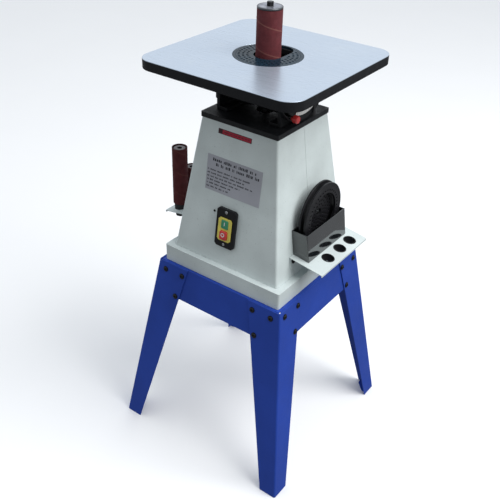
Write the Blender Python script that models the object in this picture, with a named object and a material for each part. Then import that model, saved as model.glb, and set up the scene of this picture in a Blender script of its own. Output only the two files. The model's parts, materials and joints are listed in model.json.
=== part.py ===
"""Oscillating spindle sander on a four-legged stand, as an assembly of separate parts.

Units are metres and +Z is up. The operator stands at -Y, and +X is to the operator's right.
The origin is on the floor, under the spindle axis. The table tilts about an axis along X, front
edge down. The motor, with the spindle on its shaft, slides up and down two guide columns: a worm
on the shaft turns a wheel and a crank, and a connecting rod ties the crank to the base.
"""

from math import atan, cos, pi, radians, sin, sqrt, tan

import bmesh
import bpy
from mathutils import Matrix, Vector

# ---- clearances and steps -------------------------------------------------------------------
GAP = 0.0003                  # between pieces that touch
ROUND_STEPS = 40              # sides of a large turned piece
SMALL_STEPS = 20              # sides of a small turned piece
CORNER_STEPS = 4              # flats in a rounded corner or a sheet's fold
TABLE_CORNER_STEPS = 8        # and in the table's large corners
CUT_MARGIN = 0.004            # how far a cutter runs past the faces it cuts
EDGE = 0.001                  # a small chamfer

# ---- heights --------------------------------------------------------------------------------
TABLE_TOP_Z = 0.922
STAND_TOP_Z = 0.4534
BASE_TOP_Z = 0.4931
CABINET_TOP_Z = 0.7978
CASTING_TOP_Z = 0.8083

# ---- stand ----------------------------------------------------------------------------------
STAND_HALF_X = 0.1658         # half width and depth over the legs at the top
STAND_HALF_Y = 0.158
FOOT_HALF_X = 0.2304          # the same at the floor
FOOT_HALF_Y = 0.2329
LEG_SHEET = 0.0025
LEG_BEND_R = 0.004            # outside radius of the leg's fold
LEG_INNER_TOP = 0.083         # where a leg's flange ends, from the middle, at the top
LEG_INNER_FOOT = 0.188        # and at the floor
FOOT_PLATE_WIDTH = 0.038
FOOT_PLATE_NOTCH = 0.4        # how much of its width the plate keeps at the cut-off corner
APRON_SHEET = 0.002
APRON_BOTTOM_Z = 0.3735
APRON_HALF = 0.150
APRON_LIP_HALF_X = 0.1605     # half lengths of the lips: front and rear, then left and right
APRON_LIP_HALF_Y = 0.1345
APRON_LIP = 0.020

# ---- base pan and cabinet -------------------------------------------------------------------
PAN_HALF_X = 0.1548
PAN_HALF_Y = 0.149
PAN_SHEET = 0.003
PAN_CORNER_R = 0.005
PAN_WINDOW_HALF = 0.045       # opening in the pan's top plate, in front of the drive
PAN_WINDOW_FRONT_Y = -0.100
PAN_WINDOW_REAR_Y = -0.020
CABINET_SHEET = 0.002
CABINET_CORNER_R = 0.005
CABINET_TOP_X = 0.0945        # half sizes of the tapered cabinet at its top
CABINET_TOP_Y = 0.0914
CABINET_FOOT_X = 0.1365       # and where the flared foot starts
CABINET_FOOT_Y = 0.1325
FLARE_X = 0.1395              # and at the flared foot's lower edge
FLARE_Y = 0.1355
FLARE_HEIGHT = 0.009
CASTING_HALF_X = 0.0955
CASTING_HALF_Y = 0.093
CASTING_CORNER_R = 0.003
SHAFT_HOLE_R = 0.020
DUST_Z = 0.690                # dust port in the rear wall
DUST_R_OUT = 0.0315
DUST_R_IN = 0.0295
DUST_FLANGE_R = 0.042
DUST_FLANGE = 0.003
DUST_END_Y = 0.152
GLAND_X = 0.080               # cord gland in the rear wall
GLAND_Z = 0.535
GLAND_R = 0.0085
GLAND_BORE_R = 0.0045
GLAND_COLLAR_R = 0.011
GLAND_COLLAR = 0.005          # how far the collar stands out of the wall
GLAND_REACH = 0.017           # and the nose

# ---- table, insert and tilt -----------------------------------------------------------------
TABLE_HALF = 0.184
TABLE_PLATE = 0.008
TABLE_RIM_HEIGHT = 0.020
TABLE_RIM_WIDTH = 0.007
TABLE_CORNER_R = 0.036
INSERT_R = 0.0702
INSERT_SEAT_R = 0.0706
INSERT_THICK = 0.0046
INSERT_LEDGE_R = 0.0625
INSERT_BOSS_R = 0.078
INSERT_BOSS_DROP = 0.008
BOSS_OVERLAP = 0.002          # how far the boss is sunk in the plate above it
SEAT_OVERLAP = 0.0001         # and the ledge's bore in the seat
HOLE_R = 0.029                # the insert's long hole: its radius and its rear centre
HOLE_REAR_Y = 0.0375
TILT_Z = 0.905
TILT_MAX = radians(45.0)
TRUNNION_R = 0.0945
TRUNNION_IN_X = 0.0815
TRUNNION_OUT_X = 0.0915
SLOT_R = 0.0885
SLOT_HALF = 0.0036
STUD_ANGLE = radians(-120.5)  # where the lock stud stands on the slot's circle
GUIDE_ANGLE = radians(-70.0)  # and the guide bolt in the left trunnion
LEFT_FRONT_ANGLE = radians(-121.2)   # the left trunnion is cut straight up in front of this
TRUNNION_STEPS = 28
STUD_R = 0.003
GUIDE_HEAD_R = 0.0065
GUIDE_HEAD = 0.005
SADDLE_IN_X = 0.0708
SADDLE_OUT_X = 0.0788
SADDLE_HALF_Y = 0.062
SADDLE_TOP_Z = 0.846
SADDLE_NOTCH_Z = 0.822        # the lowest point of a cheek's dip, over the axis
SADDLE_SHOULDER_Z = 0.836     # either side of the dip
SADDLE_SHOULDER_REAR_Y = 0.034
SADDLE_SHOULDER_FRONT_Y = -0.024
SADDLE_CREST_REAR_Y = -0.036  # the crest that carries the lock stud
SADDLE_CREST_FRONT_Y = -0.058
SADDLE_REAR_Z = 0.826
SADDLE_FRONT_Z = 0.840
SADDLE_FOOT_WIDTH = 0.020
SADDLE_FOOT = 0.007
SHROUD_R_IN = 0.084           # the dust trough under the table, round the tilt axis
SHROUD_R_OUT = 0.087
SHROUD_HALF_X = 0.066
SHROUD_SLOT_HALF = 0.013      # the slot that the spindle passes through as the table tilts
SHROUD_SLOT_FROM = radians(-143.0)
SHROUD_SLOT_TO = radians(-82.0)
SCALE_R_IN = 0.0745
SCALE_R_OUT = 0.0815
SCALE_ANGLE_FROM = radians(-113.0)
SCALE_ANGLE_TO = radians(-60.0)
SCALE_THICK = 0.0008
POINTER_ANGLE = radians(-63.0)
KNOB_R = 0.0082
KNOB_IN_X = 0.0935
KNOB_LENGTH = 0.0145
KNOB_END = 0.004              # solid beyond the stud's bore
KNOB_PROFILE = ((0.0, 0.62), (0.0035, 0.66), (0.0045, 0.97), (0.012, 1.0), (KNOB_LENGTH, 0.86))
KNOB_LOBES = 8
KNOB_FLUTE = 0.07             # how deep the grooves between its lobes are, as a share of its radius
POINTER_THICK = 0.0014
POINTER_LAP = 0.002           # how far its tip reaches over the scale
POINTER_TIP = 0.008
POINTER_FOOT_Y = (-0.004, 0.006)
POINTER_SHOULDER_Y = (-0.003, 0.004)

# ---- spindle and drum -----------------------------------------------------------------------
SHAFT_R = 0.008
COLLAR_R = 0.012             # the shaft's collar under the lower washer
COLLAR_BOTTOM_Z = 0.830
COLLAR_TAPER = 0.002
SHAFT_BOTTOM_Z = 0.5595
SHAFT_SHOULDER_DROP = 0.006   # where the shaft narrows to its thread, below the drum's top
THREAD_START_DROP = 0.004
THREAD_R = 0.0050
THREAD_TOP_Z = 1.0245
DRUM_BOTTOM_Z = 0.8805
DRUM_TOP_Z = 1.0125
DRUM_R = 0.0238
SLEEVE_R = 0.0254
SLEEVE_WALL = 0.0013
SLEEVE_DROP = 0.0005          # how far the sleeve's top lies below the drum's
WASHER_THICK = 0.0035
NUT_FLATS = 0.0125
NUT_HEIGHT = 0.0075

# ---- motor ----------------------------------------------------------------------------------
MOTOR_R = 0.060
MOTOR_WALL = 0.003
MOTOR_BOTTOM_Z = 0.630
MOTOR_TOP_Z = 0.745
BELL_HEIGHT = 0.0227
BELL_SHOULDER = 0.010         # width and height of its sloping shoulder
BELL_FACE = 0.006             # thickness over the bearing's pocket
BELL_SHAFT_CLEAR = 0.0025
CORE_BOTTOM_Z = 0.645
CORE_TOP_Z = 0.730
ROTOR_R = 0.0295
STATOR_IN_R = 0.0305
BEARING_R = 0.020
BEARING_HEIGHT = 0.012
COLUMN_X = 0.078
COLUMN_R = 0.006
LUG_HALF_Y = 0.012
LUG_END_X = 0.0885
LUG_ROOT = 0.010              # how far a lug runs into its bell

# ---- oscillating drive ----------------------------------------------------------------------
WORM_Z = 0.578
WORM_ROOT_R = 0.0088
WORM_TIP_R = 0.0105
WORM_HALF = 0.014
WORM_SIDES = 16
WORM_ROWS = 5                 # rings per turn of its thread
WORM_FLANK = 3.2              # steepness of the thread's flanks
WORM_CROWN = 1.6              # and how far their tips are cut off
WHEEL_Y = 0.032
WHEEL_TEETH = 30
WHEEL_ROOT_R = 0.0185
WHEEL_TIP_R = 0.0211
WHEEL_HALF = 0.006
AXLE_R = 0.005
AXLE_END_X = -0.020
CRANK_THROW = 0.012
CRANK_DISC_R = 0.0175
CRANK_X = 0.034
CRANK_THICK = 0.006
PIN_R = 0.004
PIN_PROUD = 0.004             # how far the pins stand out of the rod
ROD_X = 0.0415
ROD_THICK = 0.008
ROD_EYE_R = 0.0085
ROD_SHANK_HALF = 0.005
ROD_NECK = 0.012              # from a pin to where the shank starts
ANCHOR_Z = 0.533              # the connecting rod's lower pin
ANCHOR_THICK = 0.006          # the anchor's cheeks
ANCHOR_CLEAR = 0.008          # room between the rod and each cheek
ANCHOR_RISE = 0.011           # of the cheeks over the pin
ANCHOR_FLOOR = 0.003
ANCHOR_HALF_Y = 0.010
GEARBOX_X = (-0.018, 0.030)
GEARBOX_Y = (-0.018, 0.060)
GEARBOX_BOTTOM_Z = 0.550
GEARBOX_WALL = 0.003
GEARBOX_SHAFT_CLEAR = 0.0015

# ---- switch ---------------------------------------------------------------------------------
SWITCH_X = -0.0017
SWITCH_Z = 0.581
SWITCH_WIDTH = 0.050
SWITCH_HEIGHT = 0.088
SWITCH_THICK = 0.008
PLATE_CHAMFER = 0.005
BEZEL_Z = 0.579
BEZEL_WIDTH = 0.034
BEZEL_HEIGHT = 0.052
BEZEL_RISE = 0.0025
BEZEL_CHAMFER = 0.004
POCKET_DEPTH = 0.0035         # of the buttons' pockets below the plate's face
BUTTON_WIDTH = 0.018
BUTTON_HEIGHT = 0.0195
BUTTON_PITCH = 0.024
BUTTON_CHAMFER = 0.002
BUTTON_TRAVEL = 0.002
START_PROUD = 0.0012          # how far the buttons stand out of the bezel
STOP_PROUD = 0.0045

# ---- shelves and what they hold -------------------------------------------------------------
SHELF_SHEET = 0.0018
SHELF_WALL_Z = 0.541          # where the shelf leaves the wall
SHELF_OUT_X = 0.2125
SHELF_SLOPE = radians(8.2)    # the shelf falls away from the wall
SHELF_FLANGE = 0.028
SHELF_LIP = 0.005
SHELF_FOLD = 1.3              # the inside of the fold at the wall, in sheet thicknesses
SHELF_CUT = 0.010             # how far a hole's cutter runs either way
SHELF_FRONT_Y = -0.0815
SHELF_REAR_Y = 0.1055
SHELF_HOLE_R = 0.014
SHELF_HOLE_X = 0.1895
RIGHT_HOLES_Y = (-0.0206, 0.0275, 0.0695)
LEFT_HOLES_Y = (-0.054, -0.013, 0.030)
HOLDER_DEPTH = 0.039
HOLDER_WALL = 0.002
HOLDER_FRONT_Y = -0.067
HOLDER_REAR_Y = 0.083
HOLDER_TOP_Z = 0.597
INNER_SPARE = (0.0055, 0.0085)   # of each spare insert: distance from the wall, radius of its hole
OUTER_SPARE = (0.0170, 0.0480)
SPIGOT_R = 0.0115             # the end of a spare drum that stands in the shelf's hole
SPIGOT_LENGTH = 0.012
SPARE_FLANGE_R = 0.0148       # and the flange that rests on the shelf
SPARE_BORE_R = 0.005
SPARE_RECESS = 0.003          # how far a drum's top lies below its sleeve's
LARGE_SPARE = (0.0175, 0.012, 0.686)   # of each spare drum: sleeve radius, flange height, top
SMALL_SPARE = (0.0140, 0.003, 0.624)

CABINET_BOTTOM_Z = BASE_TOP_Z + GAP
TAPER_Z = CABINET_TOP_Z - CABINET_BOTTOM_Z - FLARE_HEIGHT
SLOPE_X = (CABINET_FOOT_X - CABINET_TOP_X) / TAPER_Z
SLOPE_Y = (CABINET_FOOT_Y - CABINET_TOP_Y) / TAPER_Z
FRONT_TILT = atan(SLOPE_Y)


# ---- materials ------------------------------------------------------------------------------
FINISHES = {
    "blue_paint": ((0.030, 0.060, 0.330), 0.45, 0.0),
    "grey_paint": ((0.600, 0.660, 0.660), 0.50, 0.0),
    "black_casting": ((0.020, 0.021, 0.024), 0.60, 0.0),
    "ground_iron": ((0.550, 0.600, 0.650), 0.30, 0.9),
    "black_plastic": ((0.022, 0.022, 0.026), 0.35, 0.0),
    "yellow_plastic": ((0.800, 0.700, 0.120), 0.40, 0.0),
    "green_plastic": ((0.050, 0.380, 0.200), 0.40, 0.0),
    "red_plastic": ((0.650, 0.040, 0.050), 0.40, 0.0),
    "white_enamel": ((0.850, 0.850, 0.830), 0.40, 0.0),
    "abrasive": ((0.150, 0.022, 0.028), 0.90, 0.0),
    "rubber": ((0.030, 0.030, 0.032), 0.80, 0.0),
    "steel": ((0.550, 0.560, 0.580), 0.30, 1.0),
    "zinc_washer": ((0.620, 0.640, 0.680), 0.40, 0.8),
    "blackened_steel": ((0.030, 0.030, 0.032), 0.40, 0.7),
    "aluminium": ((0.600, 0.610, 0.620), 0.45, 0.9),
    "lamination": ((0.250, 0.240, 0.230), 0.50, 0.8),
    "bronze": ((0.550, 0.330, 0.120), 0.35, 1.0),
}


def finish(name):
    """The material of that name, made from FINISHES the first time it is asked for."""
    material = bpy.data.materials.get(name)
    if material:
        return material
    colour, roughness, metallic = FINISHES[name]
    material = bpy.data.materials.new(name)
    material.use_nodes = True
    material.diffuse_color = (*colour, 1.0)
    shader = material.node_tree.nodes["Principled BSDF"]
    shader.inputs["Base Color"].default_value = (*colour, 1.0)
    shader.inputs["Roughness"].default_value = roughness
    shader.inputs["Metallic"].default_value = metallic
    return material


# ---- scene helpers --------------------------------------------------------------------------
def clear_scene():
    for item in list(bpy.data.objects):
        bpy.data.objects.remove(item, do_unlink=True)


def axis_empty(name, location, parent=None):
    """An empty on a joint's axis. Its location is in world metres."""
    empty = bpy.data.objects.new(name, None)
    empty.empty_display_size = 0.03
    bpy.context.collection.objects.link(empty)
    adopt(empty, parent)
    empty.location = Vector(location) - origin_of(parent)
    return empty


def origin_of(item):
    """Where an unrotated empty, and the empties above it, put their children's origin."""
    total = Vector((0.0, 0.0, 0.0))
    while item:
        total += item.location
        item = item.parent
    return total


def adopt(item, parent):
    if parent:
        item.parent = parent


def add(name, bm, material, parent=None, smooth=False):
    """Makes a bmesh, drawn in world metres, into a named object under a parent empty."""
    bmesh.ops.recalc_face_normals(bm, faces=bm.faces)
    mesh = bpy.data.meshes.new(name)
    bm.to_mesh(mesh)
    bm.free()
    mesh.transform(Matrix.Translation(-origin_of(parent)))
    if smooth:
        mesh.shade_smooth()
        mesh.set_sharp_from_angle(angle=radians(35.0))
    mesh.materials.append(finish(material))
    item = bpy.data.objects.new(name, mesh)
    bpy.context.collection.objects.link(item)
    adopt(item, parent)
    return item


def boolean(item, bm, operation):
    """Cuts or joins one hidden helper body, drawn in world metres."""
    tool = add(f"{item.name}_tool", bm, "steel", item.parent)
    tool.hide_render = True
    tool.display_type = "WIRE"
    modifier = item.modifiers.new(operation.title(), "BOOLEAN")
    modifier.operation = operation
    modifier.solver = "EXACT"
    modifier.object = tool
    return item


def cut(item, *cutters):
    for bm in cutters:
        boolean(item, bm, "DIFFERENCE")
    return item


def join(item, *bodies):
    for bm in bodies:
        boolean(item, bm, "UNION")
    return item


# ---- shapes ---------------------------------------------------------------------------------
def loft(rings):
    """A closed body through rings of equal length, each a list of points."""
    bm = bmesh.new()
    rows = [[bm.verts.new(point) for point in ring] for ring in rings]
    for low, high in zip(rows, rows[1:]):
        for i in range(len(low)):
            j = (i + 1) % len(low)
            bm.faces.new((low[i], low[j], high[j], high[i]))
    bm.faces.new(rows[0])
    bm.faces.new(rows[-1])
    return bm


def box(low, high):
    (x0, y0, z0), (x1, y1, z1) = low, high
    ring = [(x0, y0), (x1, y0), (x1, y1), (x0, y1)]
    return loft([[(x, y, z) for x, y in ring] for z in (z0, z1)])


def prism_z(outline, z0, z1):
    return loft([[(x, y, z) for x, y in outline] for z in (z0, z1)])


def prism_x(outline, x0, x1):
    """An outline of (y, z) points carried from x0 to x1."""
    return loft([[(x, y, z) for y, z in outline] for x in (x0, x1)])


def prism_y(outline, y0, y1):
    """An outline of (x, z) points carried from y0 to y1."""
    return loft([[(x, y, z) for x, z in outline] for y in (y0, y1)])


def arc(centre, radius, start, end, steps):
    """Points on an arc, both ends included."""
    cx, cy = centre
    angles = [start + (end - start) * i / steps for i in range(steps + 1)]
    return [(cx + radius * cos(a), cy + radius * sin(a)) for a in angles]


def turned(profile, steps=ROUND_STEPS, centre=(0.0, 0.0)):
    """A body turned about a vertical axis from a profile of (radius, z) points.

    A profile that starts and ends on the axis is solid; any other is closed into a ring.
    """
    solid = profile[0][0] == 0.0 and profile[-1][0] == 0.0
    bm = bmesh.new()
    rows = []
    for radius, z in profile:
        if radius == 0.0:
            rows.append([bm.verts.new((centre[0], centre[1], z))] * steps)
            continue
        circle = arc(centre, radius, 0.0, 2.0 * pi * (steps - 1) / steps, steps - 1)
        rows.append([bm.verts.new((x, y, z)) for x, y in circle])
    pairs = list(zip(rows, rows[1:]))
    if not solid:
        pairs.append((rows[-1], rows[0]))
    for low, high in pairs:
        for i in range(steps):
            j = (i + 1) % steps
            corners = [low[i], low[j], high[j], high[i]]
            corners = [v for k, v in enumerate(corners) if v not in corners[:k]]
            bm.faces.new(corners)
    return bm


def tube(r_in, r_out, z0, z1, steps=ROUND_STEPS, centre=(0.0, 0.0)):
    return turned([(r_in, z0), (r_out, z0), (r_out, z1), (r_in, z1)], steps, centre)


def rod(radius, z0, z1, steps=SMALL_STEPS, centre=(0.0, 0.0)):
    return turned([(0.0, z0), (radius, z0), (radius, z1), (0.0, z1)], steps, centre)


def lay_along_x(bm, y, z):
    """Turns a body made about the vertical axis so that its axis runs along +X through y, z."""
    place = Matrix.Translation((0.0, y, z)) @ Matrix.Rotation(pi / 2.0, 4, "Y")
    bmesh.ops.transform(bm, matrix=place, verts=bm.verts)
    return bm


def rod_x(radius, x0, x1, y, z, steps=SMALL_STEPS):
    return lay_along_x(rod(radius, x0, x1, steps), y, z)


def rounded_rectangle(half_x, half_y, corner_r, steps=CORNER_STEPS):
    points = []
    for k, (sx, sy) in enumerate(((1, 1), (-1, 1), (-1, -1), (1, -1))):
        centre = (sx * (half_x - corner_r), sy * (half_y - corner_r))
        points += arc(centre, corner_r, k * pi / 2.0, (k + 1) * pi / 2.0, steps)
    return points


def mirrored(points, side):
    """A list of (x, ...) points with x turned to the side, 1 or -1."""
    return [(side * point[0], *point[1:]) for point in points]


def on_front(x, z, out):
    """The point at height z that stands out from the sloping front wall."""
    wall = CABINET_TOP_Y + (CABINET_TOP_Z - z) * SLOPE_Y
    return Vector((x, -wall - out * cos(FRONT_TILT), z + out * sin(FRONT_TILT)))


def side_wall_x(z):
    return CABINET_TOP_X + (CABINET_TOP_Z - z) * SLOPE_X


# ---- stand ----------------------------------------------------------------------------------
def leg_ring(z, sx, sy):
    """The leg's L-shaped section at one height, seen from above."""
    t = (STAND_TOP_Z - z) / STAND_TOP_Z
    out_x = STAND_HALF_X + (FOOT_HALF_X - STAND_HALF_X) * t
    out_y = STAND_HALF_Y + (FOOT_HALF_Y - STAND_HALF_Y) * t
    inner = LEG_INNER_TOP + (LEG_INNER_FOOT - LEG_INNER_TOP) * t
    fold = (out_x - LEG_BEND_R, out_y - LEG_BEND_R)
    ring = arc(fold, LEG_BEND_R, 0.0, pi / 2.0, CORNER_STEPS)
    ring += [(inner, out_y), (inner, out_y - LEG_SHEET)]
    ring += arc(fold, LEG_BEND_R - LEG_SHEET, pi / 2.0, 0.0, CORNER_STEPS)
    ring += [(out_x - LEG_SHEET, inner), (out_x, inner)]
    return [(sx * x, sy * y, z) for x, y in ring]


def foot_plate(sx, sy):
    """The small plate folded in at the bottom of a leg."""
    w = FOOT_PLATE_WIDTH
    kept = w * FOOT_PLATE_NOTCH
    tuck = LEG_BEND_R * (1.0 - cos(pi / 4.0))
    outline = [(LEG_BEND_R, tuck / 2.0), (w, tuck / 2.0), (w - LEG_SHEET, kept),
               (kept, w - LEG_SHEET), (tuck / 2.0, w), (tuck / 2.0, LEG_BEND_R)]
    points = [(sx * (FOOT_HALF_X - x), sy * (FOOT_HALF_Y - y)) for x, y in outline]
    return prism_z(points, 0.0, LEG_SHEET)


def make_leg(name, sx, sy):
    """Two sloping flanges and the fold between them, with a plate at the foot."""
    leg = add(name, loft([leg_ring(0.0, sx, sy), leg_ring(STAND_TOP_Z, sx, sy)]), "blue_paint")
    join(leg, foot_plate(sx, sy))


def make_apron(name, half, foot_half, lip_half, turn):
    """A sloping plate with a lip folded in at the top, made at the front and turned in place."""
    slope = (foot_half - half) / STAND_TOP_Z
    face = half - LEG_SHEET - GAP
    drop = STAND_TOP_Z - APRON_BOTTOM_Z
    web = [(-face - drop * slope, APRON_BOTTOM_Z), (-face, STAND_TOP_Z),
           (-face + APRON_SHEET, STAND_TOP_Z),
           (-face + APRON_SHEET - drop * slope, APRON_BOTTOM_Z)]
    lip = box((-lip_half, -face + APRON_SHEET / 2.0, STAND_TOP_Z - APRON_SHEET),
              (lip_half, -face + APRON_LIP, STAND_TOP_Z))
    body = prism_x(web, -APRON_HALF, APRON_HALF)
    for bm in (body, lip):
        bmesh.ops.rotate(bm, verts=bm.verts, matrix=Matrix.Rotation(turn, 3, "Z"))
    join(add(name, body, "blue_paint"), lip)


def make_stand():
    for end, sy in (("front", -1), ("rear", 1)):
        for side, sx in (("left", -1), ("right", 1)):
            make_leg(f"leg_{end}_{side}", sx, sy)
    make_apron("apron_front", STAND_HALF_Y, FOOT_HALF_Y, APRON_LIP_HALF_X, 0.0)
    make_apron("apron_right", STAND_HALF_X, FOOT_HALF_X, APRON_LIP_HALF_Y, pi / 2.0)
    make_apron("apron_rear", STAND_HALF_Y, FOOT_HALF_Y, APRON_LIP_HALF_X, pi)
    make_apron("apron_left", STAND_HALF_X, FOOT_HALF_X, APRON_LIP_HALF_Y, -pi / 2.0)


# ---- base and cabinet -----------------------------------------------------------------------
def make_base_pan():
    """A tray turned upside down, with a window in its top in front of the drive."""
    low = STAND_TOP_Z + GAP
    outer = rounded_rectangle(PAN_HALF_X, PAN_HALF_Y, PAN_CORNER_R)
    inner = rounded_rectangle(PAN_HALF_X - PAN_SHEET, PAN_HALF_Y - PAN_SHEET,
                              PAN_CORNER_R - PAN_SHEET)
    pan = add("base_pan", prism_z(outer, low, BASE_TOP_Z), "grey_paint")
    hollow = prism_z(inner, low - CUT_MARGIN, BASE_TOP_Z - PAN_SHEET)
    window = box((-PAN_WINDOW_HALF, PAN_WINDOW_FRONT_Y, BASE_TOP_Z - 2.0 * PAN_SHEET),
                 (PAN_WINDOW_HALF, PAN_WINDOW_REAR_Y, BASE_TOP_Z + CUT_MARGIN))
    cut(pan, hollow, window)


def shell_ring(z, half_x, half_y, sy):
    """The U-shaped section of one cabinet half: open towards the seam at y = 0."""
    inner_x = half_x - CABINET_SHEET
    seam = GAP / 2.0
    corner_x = half_x - CABINET_CORNER_R
    corner_y = half_y - CABINET_CORNER_R
    inner_r = CABINET_CORNER_R - CABINET_SHEET
    right = arc((corner_x, corner_y), CABINET_CORNER_R, 0.0, pi / 2.0, CORNER_STEPS)
    right_in = arc((corner_x, corner_y), inner_r, pi / 2.0, 0.0, CORNER_STEPS)
    ring = [(half_x, seam)] + right + mirrored(right[::-1], -1) + [(-half_x, seam)]
    ring += [(-inner_x, seam)] + mirrored(right_in[::-1], -1) + right_in + [(inner_x, seam)]
    return [(x, sy * y, z) for x, y in ring]


def make_cabinet_half(name, sy):
    flare_z = CABINET_BOTTOM_Z + FLARE_HEIGHT
    rings = [shell_ring(CABINET_BOTTOM_Z, FLARE_X, FLARE_Y, sy),
             shell_ring(flare_z, CABINET_FOOT_X, CABINET_FOOT_Y, sy),
             shell_ring(CABINET_TOP_Z - GAP, CABINET_TOP_X, CABINET_TOP_Y, sy)]
    return add(name, loft(rings), "grey_paint")


def rear_wall_frame(x, z):
    """Takes +Z to the outward normal of the sloping rear wall, with its origin on that wall."""
    wall = CABINET_TOP_Y + (CABINET_TOP_Z - z) * SLOPE_Y
    return Matrix.Translation((x, wall, z)) @ Matrix.Rotation(FRONT_TILT - pi / 2.0, 4, "X")


def make_cabinet():
    make_cabinet_half("cabinet_front_shell", -1)
    rear = make_cabinet_half("cabinet_rear_shell", 1)
    for radius, x, z in ((DUST_R_IN, 0.0, DUST_Z), (GLAND_BORE_R, GLAND_X, GLAND_Z)):
        hole = rod(radius, -2.0 * CUT_MARGIN, 2.0 * CUT_MARGIN, ROUND_STEPS)
        bmesh.ops.transform(hole, matrix=rear_wall_frame(x, z), verts=hole.verts)
        cut(rear, hole)
    make_dust_port()
    make_cord_gland()
    outline = rounded_rectangle(CASTING_HALF_X, CASTING_HALF_Y, CASTING_CORNER_R)
    casting = add("top_casting", prism_z(outline, CABINET_TOP_Z, CASTING_TOP_Z), "black_casting")
    cut(casting, rod(SHAFT_HOLE_R, CABINET_TOP_Z - CUT_MARGIN, CASTING_TOP_Z + CUT_MARGIN,
                     ROUND_STEPS))


def make_dust_port():
    """A flanged pipe stub. Its mouth is square to its own axis, like the wall it is fixed to."""
    reach = DUST_END_Y - CABINET_TOP_Y - (CABINET_TOP_Z - DUST_Z) * SLOPE_Y
    bm = turned([(DUST_R_IN, GAP), (DUST_FLANGE_R, GAP), (DUST_FLANGE_R, DUST_FLANGE),
                 (DUST_R_OUT, DUST_FLANGE), (DUST_R_OUT, reach), (DUST_R_IN, reach)])
    bmesh.ops.transform(bm, matrix=rear_wall_frame(0.0, DUST_Z), verts=bm.verts)
    add("dust_port", bm, "black_plastic", smooth=True)


def make_cord_gland():
    """A collar against the wall and a nose, both bored for the cord."""
    bm = turned([(GLAND_BORE_R, GAP), (GLAND_COLLAR_R, GAP), (GLAND_COLLAR_R, GLAND_COLLAR),
                 (GLAND_R, GLAND_COLLAR + EDGE), (GLAND_R - EDGE, GLAND_REACH - EDGE),
                 (GLAND_BORE_R, GLAND_REACH)], SMALL_STEPS)
    bmesh.ops.transform(bm, matrix=rear_wall_frame(GLAND_X, GLAND_Z), verts=bm.verts)
    add("cord_gland", bm, "black_plastic", smooth=True)


# ---- switch ---------------------------------------------------------------------------------
def front_block(width, height, x, z, out0, out1, chamfer=0.0):
    """A block standing on the sloping front wall, from out0 to out1, with chamfered corners."""
    hx = width / 2.0
    hz = height / 2.0
    c = chamfer
    outline = [(-hx + c, -hz), (hx - c, -hz), (hx, -hz + c), (hx, hz - c),
               (hx - c, hz), (-hx + c, hz), (-hx, hz - c), (-hx, -hz + c)]
    if c == 0.0:
        outline = outline[0::2]
    up = Vector((0.0, sin(FRONT_TILT), cos(FRONT_TILT)))
    rings = []
    for out in (out0, out1):
        middle = on_front(x, z, out)
        rings.append([middle + Vector((u, 0.0, 0.0)) + up * v for u, v in outline])
    return loft(rings)


def make_switch():
    plate = add("switch_plate", front_block(SWITCH_WIDTH, SWITCH_HEIGHT, SWITCH_X, SWITCH_Z,
                                            GAP, SWITCH_THICK, PLATE_CHAMFER), "black_plastic")
    front = SWITCH_THICK + BEZEL_RISE
    bezel = add("switch_bezel", front_block(BEZEL_WIDTH, BEZEL_HEIGHT, SWITCH_X, BEZEL_Z,
                                            SWITCH_THICK + GAP, front, BEZEL_CHAMFER),
                "yellow_plastic")
    floor = SWITCH_THICK - POCKET_DEPTH
    out = on_front(0.0, SWITCH_Z, 1.0) - on_front(0.0, SWITCH_Z, 0.0)
    for name, colour, place, proud in (("start_button", "green_plastic", 0.5, START_PROUD),
                                       ("stop_button", "red_plastic", -0.5, STOP_PROUD)):
        z = BEZEL_Z + place * BUTTON_PITCH
        well = 2.0 * GAP
        for holder in (plate, bezel):
            cut(holder, front_block(BUTTON_WIDTH + well, BUTTON_HEIGHT + well, SWITCH_X, z,
                                    floor, front + CUT_MARGIN, BUTTON_CHAMFER))
        travel = axis_empty(f"{name}_travel", on_front(SWITCH_X, z, front) - out * BUTTON_TRAVEL)
        add(name, front_block(BUTTON_WIDTH, BUTTON_HEIGHT, SWITCH_X, z,
                              floor + BUTTON_TRAVEL + 2.0 * GAP, front + proud, BUTTON_CHAMFER),
            colour, travel)


# ---- shelves --------------------------------------------------------------------------------
def shelf_top_z(x):
    return SHELF_WALL_Z - (x - side_wall_x(SHELF_WALL_Z)) * tan(SHELF_SLOPE)


def make_shelf(name, side, holes_y):
    """A folded sheet: a flange down the wall, the sloping shelf and a short outer lip."""
    t = SHELF_SHEET
    flange_z = SHELF_WALL_Z - SHELF_FLANGE
    lip_z = shelf_top_z(SHELF_OUT_X) - SHELF_LIP
    top_in = side_wall_x(SHELF_WALL_Z) + GAP
    outline = [(top_in, SHELF_WALL_Z), (side_wall_x(flange_z) + GAP, flange_z),
               (side_wall_x(flange_z) + GAP + t, flange_z),
               (top_in + SHELF_FOLD * t, SHELF_WALL_Z - t),
               (SHELF_OUT_X - t, shelf_top_z(SHELF_OUT_X) - t), (SHELF_OUT_X - t, lip_z),
               (SHELF_OUT_X, lip_z), (SHELF_OUT_X, shelf_top_z(SHELF_OUT_X))]
    shelf = add(name, prism_y(mirrored(outline, side), SHELF_FRONT_Y, SHELF_REAR_Y), "grey_paint")
    middle_z = shelf_top_z(SHELF_HOLE_X)
    for y in holes_y:
        cut(shelf, rod(SHELF_HOLE_R, middle_z - SHELF_CUT, middle_z + SHELF_CUT, SMALL_STEPS,
                       (side * SHELF_HOLE_X, y)))


def shelf_z_off_wall(offset):
    """Height of the shelf's top where a line parallel to the wall, offset outwards, meets it."""
    fall = tan(SHELF_SLOPE)
    return SHELF_WALL_Z - offset * fall / (1.0 - SLOPE_X * fall)


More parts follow.
